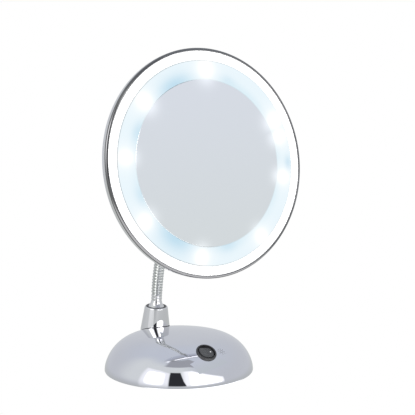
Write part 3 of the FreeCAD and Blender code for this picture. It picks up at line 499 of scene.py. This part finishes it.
def make_dome():
    outer = dome_profile(0.0, 2)
    inner = list(reversed(dome_profile(WALL)))
    lip = [(BASE_R - WALL + 0.4, EDGE), (BASE_R - 0.5, EDGE), (BASE_R - 0.12, EDGE + 0.12)]
    profile = lip + outer[2:] + inner
    obj = lathe("base_dome", profile, "chrome", steps=360)
    open_switch_hole(obj)
    sharpen(obj, 50.0)
    return finish_piece(obj, "base", ["base_shell"])


def open_switch_hole(obj):
    """Clears the dome under the switch's ring."""
    inverse = switch_matrix().inverted()
    bm = bmesh.new()
    bm.from_mesh(obj.data)
    gone = []
    for face in bm.faces:
        p = inverse @ face.calc_center_median() / MM
        if p.z > -9.0 and math.hypot(p.x, p.y) < 7.5:
            gone.append(face)
    bmesh.ops.delete(bm, geom=gone, context="FACES")
    bm.to_mesh(obj.data)
    bm.free()


# ------------------------------------------------------------------ gooseneck

NECK_LOW_R, NECK_LOW_END = 140.0, 24.0
COIL_PITCH, NECK_R, VALLEY_R, GROOVE_R = 2.65, 4.9, 4.25, 3.85


def lean_dir(angle):
    a = math.radians(angle)
    return Vector((0.0, -math.sin(a), math.cos(a)))


def neck_setup():
    start = SOCKET_AT + lean_dir(SOCKET_LEAN) * 10.4
    end = HEAD / MM - HEAD_OUT * (COVER_DEPTH + 12.0)
    lean0, lean1, lean2 = SOCKET_LEAN, NECK_LOW_END, 90.0 - math.degrees(TILT)
    a0, a1, a2 = (math.radians(v) for v in (lean0, lean1, lean2))
    knee_y = start.y - NECK_LOW_R * (math.cos(a0) - math.cos(a1))
    knee_z = start.z + NECK_LOW_R * (math.sin(a1) - math.sin(a0))
    side, rise = knee_y - end.y, end.z - knee_z
    cy, cz = math.cos(a1) - math.cos(a2), math.sin(a2) - math.sin(a1)
    det = math.sin(a1) * cz - math.cos(a1) * cy
    straight = (side * cz - rise * cy) / det
    high = (math.sin(a1) * rise - math.cos(a1) * side) / det
    return start, [(NECK_LOW_R * (a1 - a0), NECK_LOW_R, lean0), (straight, None, lean1),
                   (high * (a2 - a1), high, lean1)]


NECK_START, NECK_RUNS = neck_setup()
NECK_LENGTH = sum(run[0] for run in NECK_RUNS)
SPACING = 8.0 * COIL_PITCH
JOINT_STATIONS = [(NECK_LENGTH - 5.0 * SPACING) / 2.0 + i * SPACING for i in range(6)]


def neck_place(station):
    """(point in millimetres, lean in degrees) at a distance along the neck."""
    point, left = NECK_START.copy(), station
    for i, (length, radius, lean) in enumerate(NECK_RUNS):
        ahead = left if i == 2 else min(left, length)
        if radius is None:
            turn = 0.0
            point = point + lean_dir(lean) * ahead
        else:
            turn = math.degrees(ahead / radius)
            a, b = math.radians(lean), math.radians(lean + turn)
            point = point + Vector((0.0, math.cos(b) - math.cos(a),
                                    math.sin(b) - math.sin(a))) * radius
        left -= ahead
        if left <= 1e-9:
            break
    return point, lean + turn


def neck_ring(station, angle, radius):
    point, lean = neck_place(station)
    a = math.radians(lean)
    side = Vector((1.0, 0.0, 0.0))
    front = Vector((0.0, math.cos(a), math.sin(a)))
    return (point + side * (radius * math.cos(angle)) + front * (radius * math.sin(angle))) * MM


def coil_radius(phase):
    """Height of the wound strip over one pitch: a round wire crown and a sharp groove."""
    u = abs((phase % 1.0) - 0.5) * 2.0
    crown = math.sqrt(max(0.0, 1.0 - (u / 0.84) ** 2.0)) if u < 0.84 else 0.0
    return GROOVE_R + (NECK_R - GROOVE_R) * crown


def bend_at_joint(obj, index):
    """Bakes the piece's placement into its mesh; the neck's points either side of the joint are
    worked out but not used.
    """
    reach = SPACING * 0.45
    low, _ = neck_place(JOINT_STATIONS[index] - reach)
    high, _ = neck_place(JOINT_STATIONS[index] + reach)
    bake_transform(obj)


def coil_piece(index, low, high):
    """One length of the wound strip; its ends fade to plain tube at the neck's two ends."""
    around, fine, fade = 72, 18, 1.5
    count = max(2, int(round((high - low) / COIL_PITCH * fine)))
    verts, faces = [], []
    for i in range(count + 1):
        station = low + (high - low) * i / count
        for j in range(around):
            angle = 2.0 * math.pi * j / around
            phase = station / COIL_PITCH - j / around
            share = min(1.0, station / fade, (NECK_LENGTH - station) / fade)
            radius = VALLEY_R + (coil_radius(phase) - VALLEY_R) * max(0.0, share)
            verts.append(neck_ring(station, angle, radius))
    for i in range(count):
        for j in range(around):
            k = (j + 1) % around
            faces.append((i * around + j, i * around + k, (i + 1) * around + k,
                          (i + 1) * around + j))
    obj = new_piece("neck_coil_%d" % index, verts, faces, "neck")
    bend_at_joint(obj, index - 1)
    replaced = ["gooseneck_%d" % index] + (["gooseneck_7"] if index == 6 else [])
    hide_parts(*replaced)
    return obj


def tube(name, points, radius, mat, around=16):
    """A round tube along points in millimetres, with frames carried along the run."""
    verts, faces = [], []
    side = Vector((1.0, 0.0, 0.0))
    for i, p in enumerate(points):
        ahead = (points[min(i + 1, len(points) - 1)] - points[max(i - 1, 0)]).normalized()
        side = (side - ahead * side.dot(ahead)).normalized()
        up = ahead.cross(side)
        for j in range(around):
            a = 2.0 * math.pi * j / around
            verts.append((p + side * (radius * math.cos(a)) + up * (radius * math.sin(a))) * MM)
    for i in range(len(points) - 1):
        for j in range(around):
            k = (j + 1) % around
            faces.append((i * around + j, i * around + k, (i + 1) * around + k,
                          (i + 1) * around + j))
    faces.append(tuple(range(around - 1, -1, -1)))
    last = (len(points) - 1) * around
    faces.append(tuple(range(last, last + around)))
    return new_piece(name, verts, faces, mat)


def rounded_points(corners, radius, steps=10):
    """Straight runs through corners, with the middle corner rounded."""
    a, b, c = corners
    before, after = (a - b).normalized(), (c - b).normalized()
    half = math.acos(max(-1.0, min(1.0, before.dot(after)))) / 2.0
    back = radius / math.tan(half)
    centre = b + (before + after).normalized() * (radius / math.sin(half))
    near, far = b + before * back, b + after * back
    points = [a + (near - a) * i / 6 for i in range(6)]
    for i in range(steps + 1):
        p = near.lerp(far, i / steps)
        points.append(centre + (p - centre).normalized() * radius)
    points += [far + (c - far) * i / 6 for i in range(1, 7)]
    return points


def make_neck():
    breaks = [0.0] + [(JOINT_STATIONS[i] + JOINT_STATIONS[i + 1]) / 2.0 for i in range(5)]
    breaks.append(NECK_LENGTH)
    for i in range(6):
        coil_piece(i + 1, breaks[i], breaks[i + 1])
    return breaks


def make_cable(breaks):
    """The cable inside the neck, in lengths."""
    radius = 1.3
    axis = lean_dir(SOCKET_LEAN)
    inlet = SOCKET_AT - axis * 39.5
    low = rounded_points([Vector((0.0, 27.0, inlet.z)), inlet, NECK_START], 7.0)
    finish_piece(tube("cable_base", low, radius, "wire"), "base", ["power_cable"])
    for i in range(6):
        stations = [breaks[i] + (breaks[i + 1] - breaks[i]) * k / 16.0 for k in range(17)]
        obj = tube("cable_neck_%d" % (i + 1), [neck_place(v)[0] for v in stations], radius,
                   "wire")
        bend_at_joint(obj, i)
    head = HEAD / MM
    corner = head - HEAD_OUT * 8.2
    top = head - HEAD_OUT * (COVER_DEPTH + 12.0)
    route = rounded_points([top, corner, corner - HEAD_UP * 39.9], 4.2)
    finish_piece(tube("cable_head", route, radius, "wire"), "head", ())


# ------------------------------------------------------------------ head pieces

def rounded(profile, steps=5):
    """A closed profile whose corners (radius, height, rounding) are turned into arcs."""
    points = []
    count = len(profile)
    for i, corner in enumerate(profile):
        here = Vector(corner[:2])
        size = corner[2] if len(corner) > 2 else 0.0
        if size == 0.0:
            points.append(tuple(here))
            continue
        before = Vector(profile[i - 1][:2]) - here
        after = Vector(profile[(i + 1) % count][:2]) - here
        reach = min(size, before.length * 0.48, after.length * 0.48)
        a, b = here + before.normalized() * reach, here + after.normalized() * reach
        for k in range(steps + 1):
            t = k / steps
            p = a.lerp(here, t).lerp(here.lerp(b, t), t)
            points.append(tuple(p))
    return points


def turned(name, profile, mat, frame_matrix, body, node, steps=320):
    """A closed turned piece that stands for one node."""
    obj = lathe(name, rounded(profile), mat, frame_matrix, steps, closed=True)
    sharpen(obj, 40.0)
    return finish_piece(obj, body, [node])


def bulge(start, end, radius, steps=16):
    """Points of the short arc from start to end that bulges to the right of the way."""
    a, b = Vector(start), Vector(end)
    half = (b - a).length / 2.0
    left = Vector((-(b - a).y, (b - a).x)).normalized()
    centre = (a + b) / 2.0 + left * math.sqrt(radius * radius - half * half)
    first = math.atan2(a.y - centre.y, a.x - centre.x)
    turn = math.atan2(b.y - centre.y, b.x - centre.x) - first
    turn = (turn + math.pi) % (2.0 * math.pi) - math.pi
    return [(centre.x + radius * math.cos(first + turn * i / steps),
             centre.y + radius * math.sin(first + turn * i / steps)) for i in range(steps + 1)]


def hollow(start, end, radius, steps=16):
    """Points from start to end of the short arc that bulges to the left of the way."""
    return list(reversed(bulge(end, start, radius, steps)))


def make_head_front():
    """Rim, dark bead, white bezel, light band and glass, each turned at fine resolution."""
    turned("rim_ring", [(84.6, -3.4), (85.6, -3.4), (85.6, -5.4), (86.8, -5.4), (86.8, -4.0),
                        (89.2, -4.0, 0.15), (89.2, -1.2, 0.12), (87.0, -1.2), (87.0, -1.9),
                        (84.6, -1.9)], "rim", HEAD_MATRIX, "head", "chrome_rim", 360)
    bead = [(87.0, -1.2), (89.2, -1.2)] + bulge((89.2, -0.9), (87.5, 0.8), 2.6) + [(87.0, 0.5, 0.2)]
    turned("dark_bead", bead, "dark_rim", HEAD_MATRIX, "head", "trim_bead", 360)
    bezel = [(80.0, -1.8), (82.0, -1.8), (82.0, -4.6), (83.4, -4.6), (83.4, -1.8), (86.9, -1.8)]
    bezel += bulge((86.9, -0.5), (86.4, 0.0), 0.5, 8) + [(80.3, 0.0, 0.2), (80.0, -0.3, 0.1)]
    turned("bezel_ring", bezel, "bezel", HEAD_MATRIX, "head", "front_bezel", 360)
    turned("light_band_ring", [(64.9, -1.8), (79.7, -1.8), (79.7, -0.5), (79.4, -0.2, 0.15),
                               (65.1, -0.2, 0.15), (64.9, -0.4)], "band", HEAD_MATRIX, "head",
           "light_ring_lens", 360)
    glass = [(0.0, -3.2), (64.7, -3.2, 0.1), (64.7, -0.25), (64.65, -0.2), (0.0, -0.2)]
    obj = lathe("mirror_disc", rounded(glass), "mirror", HEAD_MATRIX, 360)
    sharpen(obj, 15.0)
    finish_piece(obj, "head", ["mirror_glass"])


def make_head_back():
    """The short cone and sleeve where the neck meets the back."""
    low = -COVER_DEPTH
    turned("head_cone", [(3.0, low), (12.0, low), (11.7, low - 1.0, 0.4), (8.9, low - 7.3, 0.8),
                         (8.2, low - 8.0, 0.4), (5.6, low - 8.0), (5.6, low - 4.4),
                         (3.0, low - 4.4)], "cone", HEAD_MATRIX, "head", "head_socket", 128)
    turned("head_sleeve", [(2.2, low - 4.6), (5.5, low - 4.6), (5.5, low - 8.0),
                           (6.6, low - 8.0, 0.3), (6.6, low - 9.4, 0.4), (5.3, low - 9.8, 0.15),
                           (5.3, low - 11.6, 0.2), (4.9, low - 12.0, 0.2), (2.2, low - 12.0)],
           "cone", HEAD_MATRIX, "head", "upper_ferrule", 128)


# ------------------------------------------------------------------ cone and sleeve

SOCKET_SLOPE = ((10.2, -1.4), (12.9, -20.5), (13.5, -30.0))


def make_socket():
    """The cone on the dome, cut to the dome's surface, and the grooved sleeve in it."""
    top = [(5.6, -13.5), (5.6, -1.9), (8.1, -1.9), (8.35, -0.85), (8.55, -0.4), (8.9, -0.2),
           (9.2, -0.2)] + list(reversed(bulge((10.2, -1.4), (9.3, -0.2), 1.3, 12)))
    slope = SOCKET_SLOPE
    around, rows = 160, 28
    verts, faces = [], []
    for i in range(around):
        a = 2.0 * math.pi * i / around
        low = socket_foot(a, slope)
        ring = list(top)
        for k in range(1, rows + 1):
            w = slope[0][1] + (low - slope[0][1]) * k / rows
            ring.append((slope_radius(w, slope), w))
        for r, w in ring:
            verts.append(SOCKET_MATRIX @ (Vector((r * math.cos(a), r * math.sin(a), w)) * MM))
    count = len(verts) // around
    for i in range(around):
        j = (i + 1) % around
        for k in range(count - 1):
            faces.append((i * count + k, i * count + k + 1, j * count + k + 1, j * count + k))
    obj = new_piece("socket_cone", verts, faces, "cone")
    sharpen(obj, 42.0)
    finish_piece(obj, "base", ["neck_socket"])
    turned("neck_sleeve", [
        (2.2, -13.0), (5.5, -13.0), (5.5, -1.4), (6.8, -1.4, 0.2), (7.1, -0.9, 0.2),
        (7.1, -0.3, 0.2)] + hollow((6.6, 0.5), (4.8, 4.4), 7.0)
        + [(4.7, 5.0, 0.1), (4.35, 5.3, 0.08), (4.35, 5.9, 0.08), (4.7, 6.2, 0.1),
           (4.7, 7.6, 0.1), (4.35, 7.9, 0.08), (4.35, 8.5, 0.08), (4.7, 8.8, 0.1),
           (4.7, 10.1, 0.1), (4.5, 10.4, 0.1), (2.2, 10.4)],
        "cone", SOCKET_MATRIX, "base", "lower_ferrule", 128)


def make_socket_shade_rings():
    """Painted shade in the cone's mouth, a black ring standing for the shadowed recess between
    sleeve and lip, and a thin dark ring round its foot, partly the fine joint with the dome and
    partly painted shadow.
    """
    # Painted shade: a black ring filling the cone's mouth, where the recess lies in shadow.
    gasket = [(6.9, -1.2), (9.0, -1.2), (9.05, -0.1, 0.3), (8.5, 0.35, 0.4), (7.4, 0.1, 0.3),
              (6.9, -0.6)]
    obj = lathe("socket_mouth_shade_ring", rounded(gasket), "switch", SOCKET_MATRIX, 128, closed=True)
    finish_piece(obj, "base", ())
    around, verts, faces = 160, [], []
    # The foot ring: the fine joint with the dome, darkened as painted shadow.
    bead = ((0.048, 0.45), (0.18, 0.25), (0.24, -0.2))
    for i in range(around):
        a = 2.0 * math.pi * i / around
        low = socket_foot(a, SOCKET_SLOPE)
        for out, lift in bead:
            r = slope_radius(low + lift, SOCKET_SLOPE) + out
            p = Vector((r * math.cos(a), r * math.sin(a), low + lift))
            verts.append(SOCKET_MATRIX @ (p * MM))
    for i in range(around):
        j = (i + 1) % around
        for k in range(len(bead) - 1):
            low_i, low_j = i * len(bead) + k, j * len(bead) + k
            faces.append((low_i, low_i + 1, low_j + 1, low_j))
    finish_piece(new_piece("socket_seam", verts, faces, "gap"), "base", ())


def slope_radius(w, slope):
    upper, lower = (slope[0], slope[1]) if w > slope[1][1] else (slope[1], slope[2])
    t = (w - upper[1]) / (lower[1] - upper[1])
    return upper[0] + (lower[0] - upper[0]) * t


def socket_foot(a, slope):
    """The height in the socket's frame at which the cone's side meets the dome."""
    high, low = slope[0][1], slope[2][1]
    for _ in range(30):
        w = (high + low) / 2.0
        r = slope_radius(w, slope)
        p = (SOCKET_MATRIX @ (Vector((r * math.cos(a), r * math.sin(a), w)) * MM)) / MM
        if p.z > dome_height(math.hypot(p.x, p.y)):
            high = w
        else:
            low = w
    return low


# ------------------------------------------------------------------ switch

SWITCH_REACH = 47.5
SWITCH_TURN = 3.8


def switch_matrix():
    shoulder = dome_arcs()[1]
    side = SWITCH_REACH - shoulder.x
    slope = math.atan2(side, math.sqrt(SHOULDER * SHOULDER - side * side))
    height = dome_height(SWITCH_REACH)
    return (Matrix.Rotation(math.radians(-SWITCH_TURN), 4, "Z")
            @ Matrix.Translation(Vector((0.0, -SWITCH_REACH, height)) * MM)
            @ Matrix.Rotation(slope, 4, "X"))


def make_switch():
    """Round bezel, see-saw rocker with a white dot, and an etched lamp mark beside it."""
    matrix = switch_matrix()
    ring = [(0.0, -13.0), (7.5, -13.0), (7.5, -1.0), (8.3, -1.0)]
    ring += bulge((8.3, 0.1), (7.5, 0.95), 1.0, 10)
    ring += [(6.9, 0.95, 0.2), (6.9, -5.2), (0.0, -5.2)]
    obj = lathe("switch_ring", rounded(ring), "switch", matrix, 128)
    sharpen(obj, 40.0)
    finish_piece(obj, "base", ["switch_body"])
    rock = (matrix @ Matrix.Translation(Vector((0.0, 0.0, -0.4)) * MM)
            @ Matrix.Rotation(math.radians(9.0), 4, "Y"))
    make_rocker(rock)
    make_lamp_mark(matrix)


def rocker_edge(a, radius, flat):
    """Outline of the rocker: a circle with its two sides cut flat, corners softened."""
    x, y = radius * math.cos(a), radius * math.sin(a)
    soft = flat * math.tanh((abs(y) / flat) ** 3.0) ** (1.0 / 3.0)
    return x, math.copysign(min(abs(y), soft), y)


def make_rocker(matrix):
    around, rows = 96, 26
    verts, faces = [], []
    for k in range(rows + 1):
        t = k / rows
        for i in range(around):
            a = 2.0 * math.pi * i / around
            x, y = rocker_edge(a, 6.35, 5.35)
            x, y = x * t, y * t
            drop = 0.0 if t < 0.86 else 0.3 * ((t - 0.86) / 0.14) ** 2.0
            z = 0.5 + 0.7 * math.sqrt((x / 6.3) ** 2.0 + 0.004) - drop
            verts.append(matrix @ (Vector((x, y, z)) * MM))
    for depth in (0.3, -0.2, -2.4):
        for i in range(around):
            x, y = rocker_edge(2.0 * math.pi * i / around, 6.35, 5.35)
            shrink = 1.0 - max(0.0, -depth) * 0.05
            verts.append(matrix @ (Vector((x * shrink, y * shrink, depth)) * MM))
    levels = len(verts) // around
    for k in range(levels - 1):
        for i in range(around):
            j = (i + 1) % around
            faces.append((k * around + i, (k + 1) * around + i, (k + 1) * around + j,
                          k * around + j))
    faces.append(tuple(range((levels - 1) * around + around - 1, (levels - 1) * around - 1, -1)))
    obj = new_piece("rocker_cap", verts, faces, "rocker")
    clean(obj)
    sharpen(obj, 38.0)
    finish_piece(obj, "rocker", ["switch_rocker"])
    dot = [(0.0, 0.0), (0.55, 0.0), (0.62, -0.06), (0.62, -0.2), (0.0, -0.2)]
    spot = matrix @ Matrix.Translation(Vector((3.6, 0.0, 0.96)) * MM)
    spot = spot @ Matrix.Rotation(math.radians(-6.2), 4, "Y")
    finish_piece(lathe("rocker_dot", dot, "dot", spot, 48), "rocker", ())


def clean(obj):
    bm = bmesh.new()
    bm.from_mesh(obj.data)
    bmesh.ops.remove_doubles(bm, verts=bm.verts, dist=1e-7)
    bmesh.ops.dissolve_degenerate(bm, edges=bm.edges, dist=1e-8)
    bmesh.ops.recalc_face_normals(bm, faces=bm.faces)
    bm.to_mesh(obj.data)
    bm.free()
    obj.data.polygons.foreach_set("use_smooth", [True] * len(obj.data.polygons))


def make_lamp_mark(matrix):
    """A small generic lamp sign, etched on the plating: a ring with short rays."""
    verts, faces = [], []

    def strip(points, half):
        base = len(verts)
        for i, p in enumerate(points):
            ahead = (points[min(i + 1, len(points) - 1)] - points[max(i - 1, 0)]).normalized()
            side = Vector((-ahead.y, ahead.x)) * half
            for q in (p + side, p - side):
                verts.append(dome_spot(matrix, q.x, q.y, 0.03))
        for i in range(len(points) - 1):
            faces.append((base + 2 * i, base + 2 * i + 1, base + 2 * i + 3, base + 2 * i + 2))

    centre = Vector((14.0, 0.8))
    strip([centre + Vector((math.cos(t), math.sin(t))) * 1.25
           for t in (2.0 * math.pi * i / 32 for i in range(33))], 0.2)
    for i in range(8):
        ray = Vector((math.cos(math.pi * i / 4.0), math.sin(math.pi * i / 4.0)))
        strip([centre + ray * 1.9, centre + ray * 2.6, centre + ray * 3.3], 0.2)
    finish_piece(new_piece("lamp_mark", verts, faces, "etch"), "base", ())


def dome_spot(matrix, x, y, lift):
    """The point of the dome under (x, y) of the switch's frame, raised by lift."""
    p = (matrix @ (Vector((x, y, 0.0)) * MM)) / MM
    p.z = dome_height(math.hypot(p.x, p.y)) + lift
    return p * MM


# ------------------------------------------------------------------ stage

CAMERA_AZIMUTH, CAMERA_ELEVATION, CAMERA_ROLL = -32.72, 3.43, 0.208
CAMERA_DISTANCE, CAMERA_LENS = 0.621831, 64.988
AIM_HEIGHT, AIM_RIGHT = 0.134772, 0.023829


def look():
    """The camera, at the viewing angle of the picture."""
    azimuth, elevation, roll = (math.radians(v) for v in (
        CAMERA_AZIMUTH, CAMERA_ELEVATION, CAMERA_ROLL))
    right = Vector((math.cos(azimuth), math.sin(azimuth), 0.0))
    back = Vector((math.sin(azimuth) * math.cos(elevation),
                   -math.cos(azimuth) * math.cos(elevation), math.sin(elevation)))
    up = back.cross(right)
    target = Vector((0.0, 0.0, AIM_HEIGHT)) + right * AIM_RIGHT
    place = target + back * CAMERA_DISTANCE
    x = right * math.cos(roll) + up * math.sin(roll)
    y = up * math.cos(roll) - right * math.sin(roll)
    data = bpy.data.cameras.new("camera")
    data.sensor_width = 36.0
    data.lens = CAMERA_LENS
    data.shift_x = -0.0012
    data.shift_y = 0.0020
    data.clip_start = 0.01
    camera = bpy.data.objects.new("camera", data)
    camera.matrix_world = Matrix((
        (x.x, y.x, back.x, place.x), (x.y, y.y, back.y, place.y),
        (x.z, y.z, back.z, place.z), (0.0, 0.0, 0.0, 1.0)))
    bpy.context.scene.collection.objects.link(camera)
    bpy.context.scene.camera = camera


class Sky(Shader):
    """The world's node tree, with helpers for soft-edged areas of it.

    Angles are in degrees: azimuth 0 is in front of the mirror (-Y) and grows towards +X."""

    def __init__(self, tree):
        super().__init__(tree)
        self.out = self.node("ShaderNodeOutputWorld")
        where = self.node("ShaderNodeTexCoord").outputs["Generated"]
        split = self.node("ShaderNodeSeparateXYZ", {"Vector": where})
        x, y, z = (split.outputs[i] for i in range(3))
        self.azimuth = self.math("DEGREES", self.math("ARCTAN2", x,
                                                      self.math("MULTIPLY", y, -1.0)))
        self.height = self.math("DEGREES", self.math("ARCSINE", z))

    def times(self, *parts):
        value = parts[0]
        for part in parts[1:]:
            value = self.math("MULTIPLY", value, part)
        return value

    def above(self, limit, soft=1.5):
        return self.span(self.math("SUBTRACT", self.height, limit), -soft, soft)

    def below(self, limit, soft=1.5):
        return self.span(self.math("SUBTRACT", self.height, limit), -soft, soft, 1.0, 0.0)

    def right_of(self, start, full):
        return self.span(self.azimuth, start, full)

    def left_of(self, full, end):
        return self.span(self.azimuth, full, end, 1.0, 0.0)

    def rising(self, start, full):
        return self.span(self.height, start, full)

    def falling(self, full, end):
        return self.span(self.height, full, end, 1.0, 0.0)


def grey(r, g=None, b=None):
    return (r, r if g is None else g, r if b is None else b, 1.0)


def room_walls(s):
    """Pale grey-lavender walls, a brighter one on the left, a grey panel overhead, a floor."""
    room = s.mix(s.rising(10.0, 70.0), grey(0.68, 0.70, 0.725), grey(0.69, 0.73, 0.79))
    pale = s.times(s.right_of(-150.0, -110.0), s.left_of(-30.0, 14.0), s.rising(-10.0, 12.0),
                   s.falling(52.0, 74.0))
    room = s.mix(pale, room, grey(0.84, 0.87, 0.86))
    panel_foot = s.span(s.azimuth, -10.0, 12.0, 57.0, 51.0)
    panel = s.times(s.right_of(-70.0, -58.0), s.left_of(18.0, 26.0), s.above(panel_foot, 1.2),
                    s.below(79.0, 3.0))
    room = s.mix(panel, room, grey(0.43, 0.44, 0.47))
    room = s.mix(s.falling(-16.0, 2.0), room, grey(0.59, 0.61, 0.60))
    table = s.times(s.falling(-30.0, -18.0), s.right_of(-96.0, -76.0), s.left_of(78.0, 96.0))
    return s.mix(table, room, grey(2.4))


BOX_CORE = 4.5


def left_box(s, room):
    """A soft sheet, brightest in its middle."""
    top = s.span(s.azimuth, -66.0, -47.0, 44.5, 39.5, smooth=False)
    sheet = s.times(s.right_of(-96.0, -89.0), s.left_of(-48.5, -46.0), s.rising(-20.0, 16.0),
                    s.below(top, 2.0))
    room = s.mix(sheet, room, grey(1.16, 1.17, 1.19))
    core = s.times(s.right_of(-88.0, -74.0), s.left_of(-64.0, -52.0), s.rising(-4.0, 20.0),
                   s.below(36.0, 5.0))
    return s.mix(core, room, grey(BOX_CORE))


def right_box(s, room):
    """Its top runs down to its right, and its foot fades into the floor."""
    top = s.span(s.azimuth, -6.0, 44.0, 45.5, 12.0, smooth=False)
    sheet = s.times(s.right_of(-30.0, -17.0), s.left_of(39.5, 42.0), s.rising(-7.0, 4.0),
                    s.below(top, 1.2))
    room = s.mix(sheet, room, grey(1.3))
    core = s.times(s.right_of(-15.0, -6.0), s.left_of(33.0, 39.0), s.rising(-3.0, 8.0),
                   s.below(s.math("SUBTRACT", top, 6.0), 4.0))
    return s.mix(core, room, grey(BOX_CORE))


def dark_gap(s, room):
    """An upright dark panel between the boxes, wider to its right at its foot."""
    right = s.span(s.height, 0.0, 42.0, -19.5, -28.0, smooth=False)
    gap = s.times(s.right_of(-47.0, -45.0),
                  s.span(s.math("SUBTRACT", s.azimuth, right), -1.0, 1.0, 1.0, 0.0),
                  s.rising(-5.0, 0.5), s.below(42.0, 1.2))
    return s.mix(gap, room, grey(0.035, 0.036, 0.042))


def studio_world():
    """A pale studio with two white soft boxes and a dark gap between them."""
    world = bpy.data.worlds.new("studio")
    bpy.context.scene.world = world
    world.use_nodes = True
    world.node_tree.nodes.clear()
    s = Sky(world.node_tree)
    colour = dark_gap(s, right_box(s, left_box(s, room_walls(s))))
    shade = s.node("ShaderNodeBackground", {"Color": colour, "Strength": 1.0})
    s.tree.links.new(shade.outputs[0], s.out.inputs["Surface"])


def glow_material(name, colour):
    made, s, out = material(name)
    shade = s.node("ShaderNodeEmission", {"Color": colour, "Strength": 1.0})
    s.tree.links.new(shade.outputs[0], out.inputs["Surface"])
    return made


def show_to_camera_only(obj):
    for flag in ("visible_diffuse", "visible_glossy", "visible_transmission",
                 "visible_volume_scatter", "visible_shadow"):
        setattr(obj, flag, False)


def white_surround():
    """A white paper surround, seen by the camera only."""
    bm = bmesh.new()
    bmesh.ops.create_icosphere(bm, subdivisions=4, radius=4.0)
    mesh = bpy.data.meshes.new("surround")
    bm.to_mesh(mesh)
    bm.free()
    surround = bpy.data.objects.new("surround", mesh)
    bpy.context.scene.collection.objects.link(surround)
    mesh.materials.append(glow_material("paper_white", (1.0, 1.0, 1.0, 1.0)))
    show_to_camera_only(surround)


def floor_sheet():
    """The pale floor under the base."""
    mesh = bpy.data.meshes.new("pale_floor")
    half = 3.9
    mesh.from_pydata([(-half, -half, -0.0002), (half, -half, -0.0002), (half, half, -0.0002),
                      (-half, half, -0.0002)], [], [(0, 1, 2, 3)])
    sheet = bpy.data.objects.new("pale_floor", mesh)
    bpy.context.scene.collection.objects.link(sheet)
    mesh.materials.append(glow_material("floor_white", (1.0, 1.0, 1.0, 1.0)))
    show_to_camera_only(sheet)


CARD_DISTANCE, CARD_HALF = 0.105, (0.084, 0.088)


def reflector_card():
    """A pale card close in front of the glass, outside the picture, that the mirror shows."""
    mesh = bpy.data.meshes.new("mirror_card")
    out = Vector((0.5436, -0.8286, 0.1339)).normalized()
    centre = HEAD + out * CARD_DISTANCE
    side = Vector((0.0, 0.0, 1.0)).cross(out).normalized()
    up = out.cross(side)
    half_w, half_h = CARD_HALF
    corners = [centre + side * (a * half_w) + up * (b * half_h)
               for a, b in ((-1, -1), (1, -1), (1, 1), (-1, 1))]
    mesh.from_pydata([tuple(c) for c in corners], [], [(0, 1, 2, 3)])
    card = bpy.data.objects.new("mirror_card", mesh)
    bpy.context.scene.collection.objects.link(card)
    made, s, outn = material("card_grey")
    split = s.node("ShaderNodeSeparateXYZ", {"Vector": s.place()})
    ramp = s.span(split.outputs["Z"], 0.12, 0.25, 0.0, 1.0, smooth=False)
    colour = s.mix(ramp, (0.675, 0.715, 0.735, 1.0), (0.70, 0.735, 0.80, 1.0))
    shade = s.node("ShaderNodeEmission", {"Color": colour, "Strength": 1.0})
    s.tree.links.new(shade.outputs[0], outn.inputs["Surface"])
    mesh.materials.append(made)
    card.visible_camera = False
    card.visible_diffuse = False
    card.visible_shadow = False


# ------------------------------------------------------------------ build

make_dome()
NECK_BREAKS = make_neck()
make_cable(NECK_BREAKS)
make_socket()
make_socket_shade_rings()
make_head_front()
make_head_back()
make_switch()
look()
studio_world()
white_surround()
floor_sheet()
reflector_card()

scene = bpy.context.scene
scene.view_settings.view_transform = "Standard"
scene.view_settings.look = "None"
scene.view_settings.exposure = 0.0
scene.view_settings.gamma = 1.0
